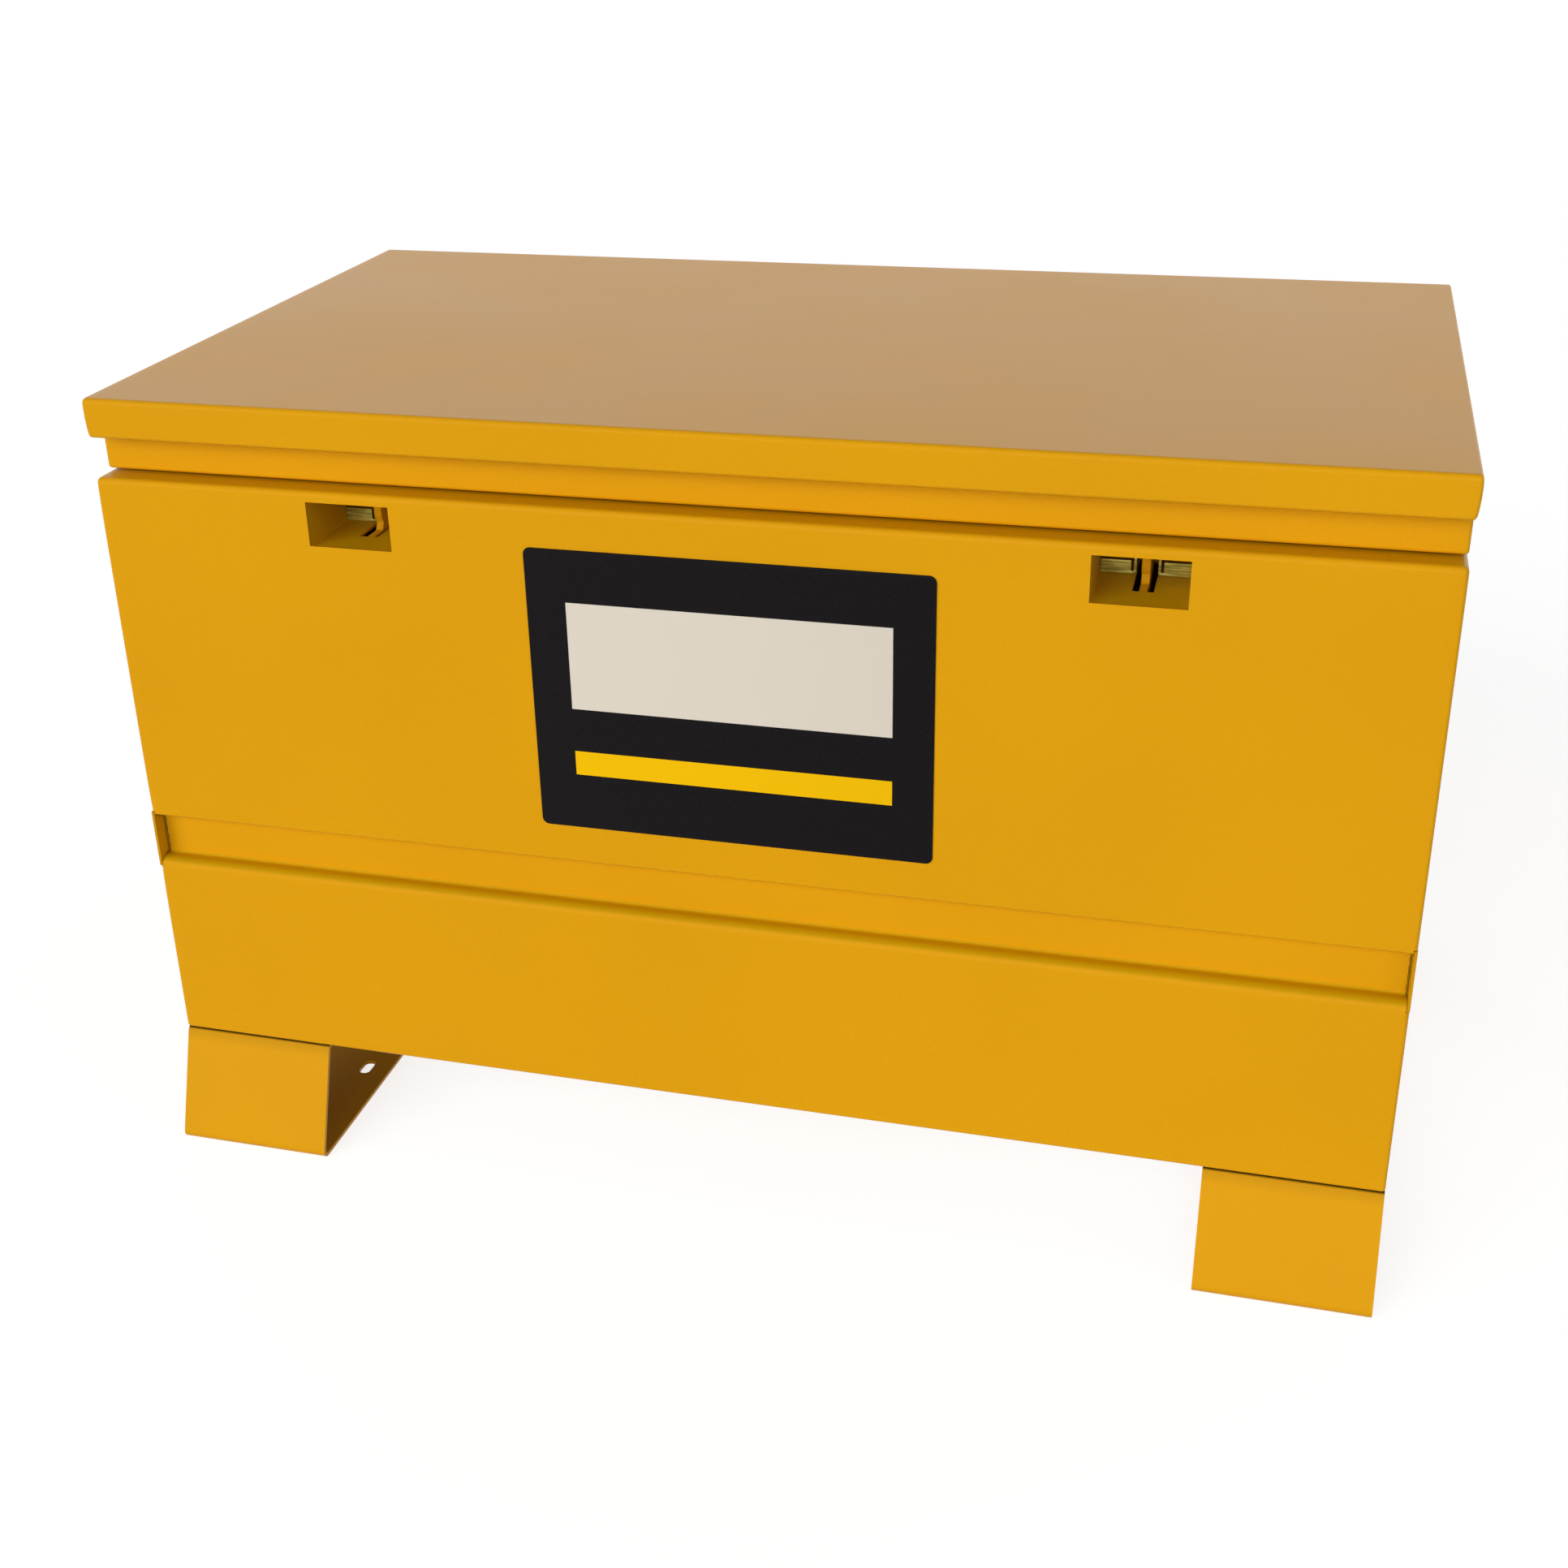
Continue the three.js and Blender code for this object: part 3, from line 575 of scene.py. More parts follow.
def maths(tree, operation, first, second=0.0, third=0.0):
    node = tree.nodes.new("ShaderNodeMath")
    node.operation = operation
    for socket, value in zip(node.inputs, (first, second, third)):
        plug(tree, socket, value)
    return node.outputs[0]


def combined(tree, operation, first, *others):
    """One operation over several values, taken in their order."""
    for other in others:
        first = maths(tree, operation, first, other)
    return first


def spread(tree, value, low, high, out_low=0.0, out_high=1.0):
    """Maps low..high to out_low..out_high, smoothly and within them."""
    node = tree.nodes.new("ShaderNodeMapRange")
    node.interpolation_type = "SMOOTHSTEP"
    feed(tree, node, Value=value, From_Min=low, From_Max=high, To_Min=out_low, To_Max=out_high)
    return node.outputs["Result"]


def blend_colour(tree, amount, first, second):
    node = tree.nodes.new("ShaderNodeMix")
    node.data_type = "RGBA"
    for number, value in ((0, amount), (6, first), (7, second)):
        plug(tree, node.inputs[number], value)
    return node.outputs[2]


def object_place(tree):
    return tree.nodes.new("ShaderNodeTexCoord").outputs["Object"]


def powder_grain_group():
    """Powder coat: orange-peel height, a fine mottle and slow drifts of tone over a colour."""
    tree, given, out = node_group(
        "powder grain", {"Colour": YELLOW, "Thin Colour": YELLOW_THIN, "Mottle": 0.06, "Thinness": 0.0})
    place = object_place(tree)
    peel = noise(tree, place, PEEL_SCALE, 3.0, 0.55)
    speck = noise(tree, place, SPECK_SCALE, 2.0, 0.6)
    drift = noise(tree, place, DRIFT_SCALE)
    mottled = maths(tree, "MULTIPLY_ADD", maths(tree, "SUBTRACT", peel, 0.5), given.outputs["Mottle"], 1.0)
    tone = combined(tree, "MULTIPLY", mottled, spread(tree, drift, 0.3, 0.7, 0.975, 1.015),
                    spread(tree, speck, 0.25, 0.75, 0.97, 1.03))
    # Blends towards the thin colour: a thin coat on cut edges, and painted shade where a material's mask
    # puts it
    paint = blend_colour(tree, *(given.outputs[label] for label in ("Thinness", "Colour", "Thin Colour")))
    scaled = tree.nodes.new("ShaderNodeVectorMath")
    scaled.operation = "SCALE"
    feed(tree, scaled, Vector=paint, Scale=tone)
    height = maths(tree, "ADD", maths(tree, "MULTIPLY", peel, 0.8), maths(tree, "MULTIPLY", speck, 0.25))
    rough = spread(tree, drift, 0.3, 0.7, 0.40, 0.47)
    feed(tree, out, Colour=scaled.outputs[0], Roughness=rough, Height=height)
    return tree


def plated_group():
    """Plated metal: passivation that drifts between two tints, with drawn lines and a fine grain."""
    tree, given, out = node_group("plated metal", {"Tint A": ZINC, "Tint B": ZINC_TINT, "Patch Scale": 90.0})
    place = object_place(tree)
    patch = noise(tree, place, given.outputs["Patch Scale"], 3.0)
    drawn = tree.nodes.new("ShaderNodeVectorMath")
    drawn.operation = "MULTIPLY"
    plug(tree, drawn.inputs[0], place)
    plug(tree, drawn.inputs[1], DRAWN_SCALES)
    lines = noise(tree, drawn.outputs[0], 1.0, 2.0, 0.55)
    mixed = maths(tree, "MULTIPLY_ADD", lines, 0.7, maths(tree, "MULTIPLY", patch, 0.3))
    amount = spread(tree, mixed, 0.40, 0.62)
    grain = noise(tree, place, METAL_GRAIN_SCALE, 2.0, 0.6)
    feed(tree, out, Colour=blend_colour(tree, amount, given.outputs["Tint A"], given.outputs["Tint B"]),
         Roughness=spread(tree, grain, 0.3, 0.7, 0.30, 0.46), Height=grain)
    return tree


GRAIN = powder_grain_group()
PLATED = plated_group()


# Materials

def material(name):
    found = bpy.data.materials.new(name)
    found.use_nodes = True
    tree = found.node_tree
    return found, tree, tree.nodes["Principled BSDF"]


def place_group(tree, group, **values):
    node = tree.nodes.new("ShaderNodeGroup")
    node.node_tree = group
    return feed(tree, node, **values)


def bump(tree, shader, height, distance, strength):
    node = feed(tree, tree.nodes.new("ShaderNodeBump"), Distance=distance, Strength=strength, Height=height)
    feed(tree, shader, Normal=node.outputs["Normal"])


def paint_material(name, thin_coat_and_shade=0.0, colour=YELLOW, thin_and_shade_colour=YELLOW_THIN, mottle=0.05,
                   gloss=GRAZING_GLOSS):
    """Satin powder coat with orange peel, glossier at grazing angles.

    thin_coat_and_shade is the share of thin colour (a thin coat on cut edges, painted shade where masked): a
    number, or a function that gives a mask for a tree.
    """
    found, tree, shader = material(name)
    amount = thin_coat_and_shade(tree) if callable(thin_coat_and_shade) else thin_coat_and_shade
    coat = place_group(tree, GRAIN, Colour=colour, Thin_Colour=thin_and_shade_colour, Mottle=mottle, Thinness=amount)
    graze = tree.nodes.new("ShaderNodeLayerWeight")
    feed(tree, shader, Base_Color=coat.outputs["Colour"], Roughness=coat.outputs["Roughness"],
         Specular_IOR_Level=0.10, Coat_Roughness=0.36,
         Coat_Weight=spread(tree, graze.outputs["Facing"], 0.45, 0.75, 0.0, gloss))
    bump(tree, shader, coat.outputs["Height"], 0.09 * MM, 0.6)
    return found


def metal_material(name, tint_a, tint_b, patch, metallic=1.0):
    """Metal between two tints, in patches of a noise scale."""
    found, tree, shader = material(name)
    skin = place_group(tree, PLATED, Tint_A=tint_a, Tint_B=tint_b, Patch_Scale=patch)
    feed(tree, shader, Base_Color=skin.outputs["Colour"], Roughness=skin.outputs["Roughness"],
         Metallic=metallic)
    bump(tree, shader, skin.outputs["Height"], 0.03 * MM, 0.5)
    return found


def band_mask(tree, value, low, high):
    """1 between low and high, 0 outside."""
    soft = PRINT_SOFTNESS
    above = spread(tree, value, low - soft, low + soft)
    return maths(tree, "MULTIPLY", above, spread(tree, value, high - soft, high + soft, 1.0, 0.0))


def object_axes(tree):
    split = feed(tree, tree.nodes.new("ShaderNodeSeparateXYZ"), Vector=object_place(tree))
    return split.outputs["X"], split.outputs["Y"], split.outputs["Z"]


def recess_shade_mask(tree):
    """Painted shade on the front sheet: darker on the ledge under the lid, on the groove's shelf and at its
    two ends.
    """
    across, deep, up = object_axes(tree)
    outward = maths(tree, "ABSOLUTE", across)
    ledge = combined(
        tree, "MULTIPLY", spread(tree, up, BODY_TOP - 4.2 * MM, BODY_TOP - 1.8 * MM),
        spread(tree, deep, FRONT, FRONT + 6 * MM))
    ends = combined(
        tree, "MULTIPLY", spread(tree, outward, HALF - GROOVE_SHADE_LENGTH, HALF - 2 * SHEET, 0.0, 0.4),
        spread(tree, deep, FRONT + 3 * MM, FRONT + GROOVE_DEPTH),
        spread(tree, up, GROOVE_HIGH, GROOVE_HIGH + 2 * MM, 1.0, 0.0))
    shelf = combined(
        tree, "MULTIPLY", spread(tree, up, GROOVE_SHELF + 0.5 * MM, GROOVE_SHELF + 3 * MM, 1.0, 0.0),
        spread(tree, up, GROOVE_LOW - 3 * MM, GROOVE_LOW - 1 * MM),
        spread(tree, deep, FRONT + 0.3 * MM, FRONT + 2.4 * MM))
    return combined(tree, "MAXIMUM", ledge, shelf, ends)


def skid_shade_mask(tree):
    """Painted shade: a near-black band in the crevice just below the body, and a darker colour over the two
    bends.
    """
    up = object_axes(tree)[2]
    crevice_shade = spread(tree, up, SKID_HEIGHT - SKID_SHADOW, SKID_HEIGHT - SKID_SHADOW / 3)
    bend = SKID_SHEET + SKID_BEND
    top = spread(tree, up, SKID_HEIGHT - 2 * bend, SKID_HEIGHT - SKID_SHADOW, 0.0, 0.14)
    toe = spread(tree, up, 0.0, 1.3 * bend, 0.16, 0.0)
    return combined(tree, "MAXIMUM", top, toe, crevice_shade)


def label_material():
    """Black film with a plain cream panel and a yellow bar, printed by object coordinates."""
    found, tree, shader = material("label film")
    across, _, up = object_axes(tree)
    low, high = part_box("front_label")
    middle = (low.z + high.z) / 2
    wide = band_mask(tree, across, -LABEL_FIELD_HALF, LABEL_FIELD_HALF)
    grain = noise(tree, object_place(tree), FILM_GRAIN_SCALE)
    film = blend_colour(tree, spread(tree, grain, 0.3, 0.7), BLACK, BLACK_GRAIN)
    for bottom, top, tint in LABEL_FIELDS:
        field = maths(tree, "MULTIPLY", wide, band_mask(tree, up, middle + bottom, middle + top))
        film = blend_colour(tree, field, film, tint)
    feed(tree, shader, Base_Color=film, Roughness=spread(tree, grain, 0.3, 0.7, 0.40, 0.50),
         Specular_IOR_Level=0.04)
    bump(tree, shader, grain, 0.02 * MM, 0.4)
    return found


PAINT = paint_material("yellow powder coat")
PAINT_EDGE = paint_material("powder coat on a cut edge", thin_coat_and_shade=0.5)
# Front sheet with painted shade on the ledge, the groove's shelf and the groove's ends
PAINT_FRONT_SHADED = paint_material("powder coat on the front with painted shade", thin_coat_and_shade=recess_shade_mask, thin_and_shade_colour=YELLOW_LEDGE_SHADE)
# Darker, greener yellow for inside faces, the pockets and the floor sheet: painted shade
PAINT_SHADED_INSIDE = paint_material("powder coat inside with painted shade", colour=YELLOW_INSIDE_SHADE, gloss=0.1)
# Skid paint with painted shade in the crevice under the body and over its two bends
PAINT_SKID = paint_material("powder coat on a skid with painted shade", thin_coat_and_shade=skid_shade_mask, thin_and_shade_colour=CREVICE_SHADE)
# Darker yellow for the skids' inner faces under the box: painted shade
PAINT_SHADE = paint_material("powder coat in painted shade", colour=YELLOW_SHADE, gloss=0.1)
WELD = paint_material("painted weld", colour=WELD_BROWN, mottle=0.5, gloss=0.1)
ZINC_PLATE = metal_material("yellow zinc plating", ZINC, ZINC_TINT, 95.0, metallic=0.6)
ROD_STEEL = metal_material("ground steel", STEEL, STEEL_TINT, 30.0)
BLACK_PAINT = paint_material("satin black paint", colour=PAINT_BLACK, mottle=0.1)
LABEL = label_material()
PAINTED = [PAINT, PAINT_EDGE]
SHELL = [PAINT, PAINT_EDGE, PAINT_SHADED_INSIDE]


# Body shell

def corner_radius(height, soft_heights):
    """The end corner's radius: small along the panels, growing to CORNER_SOFT at the given heights."""
    near = np.min([np.abs(height - soft) for soft in soft_heights], axis=0)
    return CORNER + (CORNER_SOFT - CORNER) * np.exp(-near / CORNER_SPREAD)


def front_corner(height):
    return corner_radius(height, (BODY_TOP, GROOVE_HIGH, GROOVE_LOW))


def back_corner(height):
    return corner_radius(height, (BODY_TOP,))


def even_stops(half, count):
    """Places across a sheet where its columns stand."""
    return np.linspace(-half + STOP_INSET, half - STOP_INSET, count)


def wrapped_sheet(line, half, radius, wraps, clip, stops):
    """A folded sheet whose two ends turn round a corner.

    P(s, x) = (x, p(s) + n(s)*d): across the middle d = 0; past half - r the end turns by an angle t with
    x = half - r + r*sin(t) and d = r*(1 - cos(t)), and then runs on by a hair. Half and r may change from
    row to row. Rows that don't wrap stop at their clip. Returns the points, the faces kept so far as a
    mask, and the column places.
    """
    face, metal, _ = line
    half = np.broadcast_to(half, len(face))
    reach = half.max()
    angle = np.linspace(0, math.pi / 2, CORNER_STEPS + 1)[1:]
    inner = np.unique(np.concatenate([[-reach], stops, [reach]]))
    edge = np.where(wraps, half - radius, clip)[:, None]
    flat = np.clip(inner[None], -edge, edge)
    turn = radius[:, None] * np.sin(angle)
    sink = radius[:, None] * (1 - np.cos(angle))
    rim = np.concatenate([turn, turn[:, -1:]], axis=1) * wraps[:, None]
    deep = np.concatenate([sink, radius[:, None] + HAIR], axis=1) * wraps[:, None]
    across = np.concatenate([-(edge + rim)[:, ::-1], flat, edge + rim], axis=1)
    depth = np.concatenate([deep[:, ::-1], np.zeros_like(flat), deep], axis=1)
    points = np.concatenate([across[..., None], face[:, None] + metal[:, None] * depth[..., None]], axis=2)
    ends = CORNER_STEPS + 1
    keep = np.ones((len(face) - 1, across.shape[1] - 1), bool)
    keep[:, :ends] = keep[:, -ends:] = (wraps[:-1] & wraps[1:])[:, None]
    return points, keep, np.concatenate([np.full(ends, -reach), inner, np.full(ends, reach)])


def front_line():
    low, high = GROOVE_LOW, GROOVE_HIGH
    path = [
        (LEDGE_BACK, BODY_TOP - HEM), (LEDGE_BACK, BODY_TOP), (FRONT, BODY_TOP), (FRONT, high),
        (FRONT + GROOVE_DEPTH, high - GROOVE_FLANK), (FRONT + GROOVE_DEPTH, GROOVE_SHELF),
        (FRONT, GROOVE_SHELF), (FRONT, BODY_LOW), (FRONT + FLANGE, BODY_LOW),
    ]
    radii = [BEND, BEND, TIGHT_BEND, INSIDE_BEND, INSIDE_BEND, GROOVE_LIP, TIGHT_BEND]
    upper = [OPENING_TOP, OPENING_LOW, *panel_rows()]
    breaks = {
        1: [LEDGE_BACK - LEDGE_SLOT_FRONT],
        2: [BODY_TOP - z for z in upper if z > high],
        6: [GROOVE_SHELF - z for z in panel_rows() if z < low],
    }
    return fold_line(path, radii, breaks)


def panel_rows():
    """Heights at which both the front and the end sheets have a row, so that their edges stay together."""
    above = [GROOVE_HIGH + row for row in CORNER_ROWS]
    below = [GROOVE_LOW - row for row in CORNER_ROWS]
    return below + above + [BODY_TOP - row for row in CORNER_ROWS[1:]]


def front_panel():
    line = front_line()
    face, _, stretch = line
    groove = (stretch >= 2.5) & (stretch <= 5.5)
    hem = stretch <= 0.5
    clip = np.where(groove, HALF - SHEET - SEAM, HALF - BEND - SEAM)
    housing = POCKET_HALF + SHEET + SEAM
    cuts = [s * POCKET_X + e * reach for s in (-1, 1) for e in (-1, 1)
            for reach in (POCKET_HALF, SLOT_HALF, housing)]
    stops = np.concatenate([cuts, even_stops(HALF, 13)])
    points, keep, columns = wrapped_sheet(line, HALF, front_corner(face[:, 1]), ~(groove | hem), clip, stops)
    row_y, row_z = ((face[:-1] + face[1:]) / 2).T
    row_stretch = (stretch[:-1] + stretch[1:]) / 2
    from_pocket = np.abs(np.abs((columns[:-1] + columns[1:]) / 2) - POCKET_X)
    mouth = (row_stretch == 2) & (row_z < OPENING_TOP) & (row_z > OPENING_LOW)
    ledge = (row_stretch == 1) & (row_y > LEDGE_SLOT_FRONT)
    for rows, reach in ((mouth, POCKET_HALF), (ledge, SLOT_HALF), (row_stretch < 1, housing)):
        keep &= ~(rows[:, None] & (from_pocket < reach)[None])
    return sheet_piece("front_sheet", points, [PAINT_FRONT_SHADED, PAINT_EDGE, PAINT_SHADED_INSIDE], "box", "front_panel",
                       keep, inner_slot=2)


def groove_weld(name, side):
    """A weld bead that closes the groove's end: rings of r(s) = WELD_RADIUS*(1 + ripples) along it."""
    face, metal, stretch = front_line()
    groove = (stretch >= 3) & (stretch <= 5) & (face[:, 0] > FRONT + 2 * MM)
    knots = face[groove] - 0.5 * WELD_RADIUS * metal[groove]
    length = np.concatenate([[0], np.cumsum(np.linalg.norm(np.diff(knots, axis=0), axis=1))])
    even = np.linspace(0, length[-1], WELD_STEPS)
    path = np.column_stack([np.interp(even, length, knots[:, i]) for i in (0, 1)])
    inward = np.column_stack([np.interp(even, length, metal[groove][:, i]) for i in (0, 1)])
    ripple = 0.22 * np.sin(even / (1.1 * MM)) + 0.18 * np.sin(even / (0.43 * MM) + 1.0)
    radius = WELD_RADIUS * (1 + ripple) * np.where(np.arange(WELD_STEPS) % (WELD_STEPS - 1) == 0, 0.4, 1)
    angle = even_angles(WELD_SIDES)
    x = side * (HALF - SHEET - SEAM - 0.4 * WELD_RADIUS + radius[:, None] * np.cos(angle))
    plane = path[:, None] + (radius[:, None] * np.sin(angle))[..., None] * unit(inward)[:, None]
    rings = surface(x, plane[..., 0], plane[..., 1])
    piece = loft(name + "_groove_weld", rings if side > 0 else rings[::-1], [WELD], sharp=60)
    return attach(piece, "box", "body_paint")


def back_panel():
    path = [
        (BACK - FLANGE, BODY_LOW), (BACK, BODY_LOW), (BACK, BODY_TOP), (BACK - REAR_RIM, BODY_TOP),
        (BACK - REAR_RIM, BODY_TOP - HEM),
    ]
    line = fold_line(path, [TIGHT_BEND, BEND, BEND], {1: [z - BODY_LOW for z in panel_rows()]})
    face, _, stretch = line
    clip = np.full(len(face), HALF - BEND - SEAM)
    points, keep, _ = wrapped_sheet(
        line, HALF, back_corner(face[:, 1]), stretch < 2.5, clip, even_stops(HALF, 9))
    return sheet_piece("back_sheet", points, SHELL, "box", "back_panel", keep, inner_slot=2)


def end_panel(name, side):
    """The end sheet, cut to the groove in front: P(s, t) = (x(s), y0(s) + t*(y1(s) - y0(s)), z(s))."""
    path = [
        (HALF - FLANGE, BODY_LOW), (HALF, BODY_LOW), (HALF, BODY_TOP), (HALF - END_RIM, BODY_TOP),
        (HALF - END_RIM, BODY_TOP - HEM),
    ]
    high, low = GROOVE_EDGE_HIGH - HAIR - STEP, GROOVE_EDGE_LOW + HAIR + STEP
    heights = [low - STEP, low + STEP, high - STEP, high + STEP, BODY_LOW + TIGHT_BEND + STEP]
    heights += [BODY_TOP - BEND - STEP] + [z for z in panel_rows() if not low - STEP < z < high + STEP]
    face, _, stretch = fold_line(path, [TIGHT_BEND, BEND, BEND], {1: [z - BODY_LOW for z in heights]})
    z = face[:, 1]
    flange, rim = stretch < 1, stretch > 1
    first = FRONT + front_corner(z) + 2 * HAIR
    first[(stretch == 1) & (z > low) & (z < high)] = FRONT
    first[flange] = FRONT + FLANGE + SEAM
    first[rim] = LEDGE_BACK + SEAM
    last = BACK - back_corner(z) - 2 * HAIR
    last[flange] = BACK - FLANGE - SEAM
    last[rim] = BACK - REAR_RIM - SEAM
    share = np.concatenate([[0, 0.004], np.linspace(0.05, 0.95, 9), [0.996, 1]])
    along = first[:, None] + share[None] * (last - first)[:, None]
    points = mirrored(surface(face[:, :1], along, z[:, None]), side)
    return sheet_piece(name + "_end_sheet", points, SHELL, "box", name + "_end_panel", flip=side > 0,
                       inner_slot=2)


def floor_panel():
    edge = BEND + SEAM
    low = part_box("floor_panel")[0].z
    outline = rounded(box_outline((-HALF + edge, FRONT + edge), (HALF - edge, BACK - edge)), 3 * MM)
    piece = plate("floor_sheet", "z", [outline], (low, low + SHEET), [PAINT_SHADED_INSIDE])
    return attach(piece, "box", "body_paint", "floor_panel")


# Skids

def holed_strip(line, across, places):
    """A folded strip with slots along y.

    Each slot sits in a square window of the grid: the window's cells go, and rings between its border and
    the slot, P(t, a) = border(a) + t*(slot(a) - border(a)), fill it. The slot is a circle of its width whose
    front and back halves are moved apart to its length.
    """
    face = line[0]
    points = surface(across[None], face[:, :1], face[:, 1:])
    rows, columns = points.shape[:2]
    keep = np.ones((rows - 1, columns - 1), bool)
    index = np.arange(rows * columns).reshape(rows, columns)
    extra, faces, count = [], [], rows * columns
    shares = np.array([0.45, 0.9, 1.0])[:, None, None]
    for x, y in places:
        r = np.flatnonzero((np.abs(face[:, 0] - y) < HOLE_WINDOW + HAIR) & (face[:, 1] < HAIR))
        c = np.flatnonzero(np.abs(across - x) < HOLE_WINDOW + HAIR)
        keep[r[0]:r[-1], c[0]:c[-1]] = False
        border = np.concatenate([
            index[r[0], c[:-1]], index[r[:-1], c[-1]], index[r[-1], c[:0:-1]], index[r[:0:-1], c[0]]])
        rim = points.reshape(-1, 3)[border]
        out = unit(rim[:, :2] - np.array([x, y]))
        apart = np.sign(np.round(out[:, 1], 3)) * (HOLE_LENGTH - HOLE_WIDTH) / 2
        edge = np.column_stack([
            x + out[:, 0] * HOLE_WIDTH / 2, y + out[:, 1] * HOLE_WIDTH / 2 + apart, rim[:, 2]])
        rings = rim + shares * (edge - rim)
        extra.append(rings.reshape(-1, 3))
        loops = np.concatenate([border, count + np.arange(len(rings) * len(border))])
        faces.append(loops[grid_faces(len(rings) + 1, len(border), closed=True)])
        count += len(rings) * len(border)
    return np.concatenate([points.reshape(-1, 3), *extra]), [grid_faces(rows, columns, keep), *faces]


def skid(name, side):
    toe = SKID_TOE - SKID_TOE_REACH
    top_front, top_back = FRONT + SKID_SETBACK, BACK - SKID_SETBACK
    places = [
        (SKID_INNER + (HALF - SKID_INNER) / 2 + a * HOLE_SPACING / 2, end + b * HOLE_ROW_SPACING / 2)
        for end in (FRONT + HOLE_INSET, BACK - HOLE_INSET) for a in (-1, 1) for b in (-1, 1)
    ]
    marks = np.linspace(-HOLE_WINDOW, HOLE_WINDOW, HOLE_WINDOW_CELLS + 1)
    along = np.unique(np.round([y + m for _, y in places for m in marks], 7))
    across = np.unique(np.round(np.concatenate([
        [SKID_INNER, SKID_INNER + 2 * MM, HALF - 2 * MM, HALF], [x + m for x, _ in places for m in marks],
    ]), 7))
    path = [
        (top_front + SKID_FLANGE, SKID_HEIGHT), (top_front, SKID_HEIGHT), (toe, 0), (-toe, 0),
        (top_back, SKID_HEIGHT), (top_back - SKID_FLANGE, SKID_HEIGHT),
    ]
    line = fold_line(path, [SKID_SHEET + SKID_BEND] * 4, {2: [y - toe for y in along]})
    points, faces = holed_strip(line, across, places)
    if side < 0:
        faces = [block[:, ::-1] for block in faces]
    looks = [PAINT_SKID, PAINT, PAINT_SHADE]
    piece = new_mesh(name + "_skid_strap", mirrored(points, side), faces, looks)
    thicken(piece, SKID_SHEET, edge=0.45 * MM, inner_slot=2)
    return attach(piece, "box", "body_paint", name + "_skid")


# Padlock pockets

def pocket(name, side):
    """The folded box behind an opening: a rounded square ring run back along y, closed at the rear."""
    low = (POCKET_X - POCKET_HALF, POCKET_FLOOR)
    high = (POCKET_X + POCKET_HALF, POCKET_CEILING)
    section = rounded(box_outline(low, high), 1.5 * MM, steps=4)
    slot_edges = [POCKET_X - SLOT_HALF, POCKET_X + SLOT_HALF]
    floor_marks = [(x, low[1]) for x in slot_edges]
    top_marks = [(x, high[1]) for x in slot_edges[::-1]]
    quarter = len(section) // 4
    section = np.concatenate([section[:quarter], floor_marks, section[quarter:3 * quarter], top_marks,
                              section[3 * quarter:]])
    section = np.roll(section, -(quarter - 1), axis=0)
    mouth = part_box("right_lock_pocket")[0].y
    rows = np.array([mouth, mouth + 2 * MM, LEDGE_SLOT_FRONT, SLOT_FRONT, SLOT_BACK, POCKET_REAR - 0.7 * MM,
                     POCKET_REAR])
    count = len(section)
    keep = np.ones((len(rows) - 1, count), bool)
    middle = (section + np.roll(section, -1, axis=0)) / 2
    row_middle = (rows[:-1] + rows[1:]) / 2
    in_slot = np.abs(middle[:, 0] - POCKET_X) < SLOT_HALF
    for front, wall in ((SLOT_FRONT, middle[:, 1] < low[1] + HAIR),
                        (LEDGE_SLOT_FRONT, middle[:, 1] > high[1] - HAIR)):
        keep &= ~(((row_middle > front) & (row_middle < SLOT_BACK))[:, None] & (in_slot & wall)[None])
    rear = np.arange(count * (len(rows) - 1), count * len(rows))
    faces = [grid_faces(len(rows), count, keep, closed=True), rear[None, ::-1]]
    if side < 0:
        faces = [block[:, ::-1] for block in faces]
    points = mirrored(surface(section[:, 0], rows[:, None], section[:, 1]), side)
    # The pocket's faces take the darker inside colour, painted shade
    piece = new_mesh(name + "_pocket_box", points, faces, [PAINT_SHADED_INSIDE, PAINT_EDGE], sharp=50)
    return attach(thicken(piece, SHEET, outward=True), "box", "body_paint", name + "_lock_pocket")


def keeper(name, side, place, direct):
    """A zinc keeper: a J of sheet (guard bar, round trough, cheek) and the cheek's plate behind it."""
    cheek = (SLOT_HALF, SLOT_HALF + KEEPER_SHEET)
    guard_inner, guard_outer = cheek[1] + GUARD_SLIT, POCKET_HALF - SEAM
    low, top = POCKET_FLOOR + SEAM, POCKET_CEILING - SEAM
    outline = rounded([
        (cheek[0], top), (cheek[0], low), (guard_outer, low), (guard_outer, low + GUARD_HEIGHT),
        (guard_inner, low + GUARD_HEIGHT), (guard_inner, low + GUARD_WEB), (cheek[1], low + GUARD_WEB),
        (cheek[1], top),
    ], [0, 1.8 * MM, 1.6 * MM, 1.2 * MM, 0.8 * MM, 0.8 * MM, 0.8 * MM, 0], steps=5)
    outline[:, 0] = (outline[:, 0] * direct + POCKET_X) * side
    label = f"{name}_keeper_{place}"
    keeper_back = KEEPER_FRONT + KEEPER_SHEET
    front = plate(label + "_front", "y", [outline], (KEEPER_FRONT, keeper_back), [ZINC_PLATE], 0.45 * MM)
    rim = rounded(box_outline((keeper_back + HAIR / 2, low), (KEEPER_BACK, top)), 1.2 * MM)
    hole = ring((SHACKLE_Y, SHACKLE_Z), SHACKLE_RADIUS, 36)
    levels = on_side(side, *(POCKET_X + direct * x for x in cheek))
    cheek_plate = plate(label + "_cheek", "x", [rim, hole], levels, [ZINC_PLATE], 0.3 * MM)
    return attach(joined(label, [front, cheek_plate]), "box", "zinc_plate", f"{name}_lock_keeper_{place}")


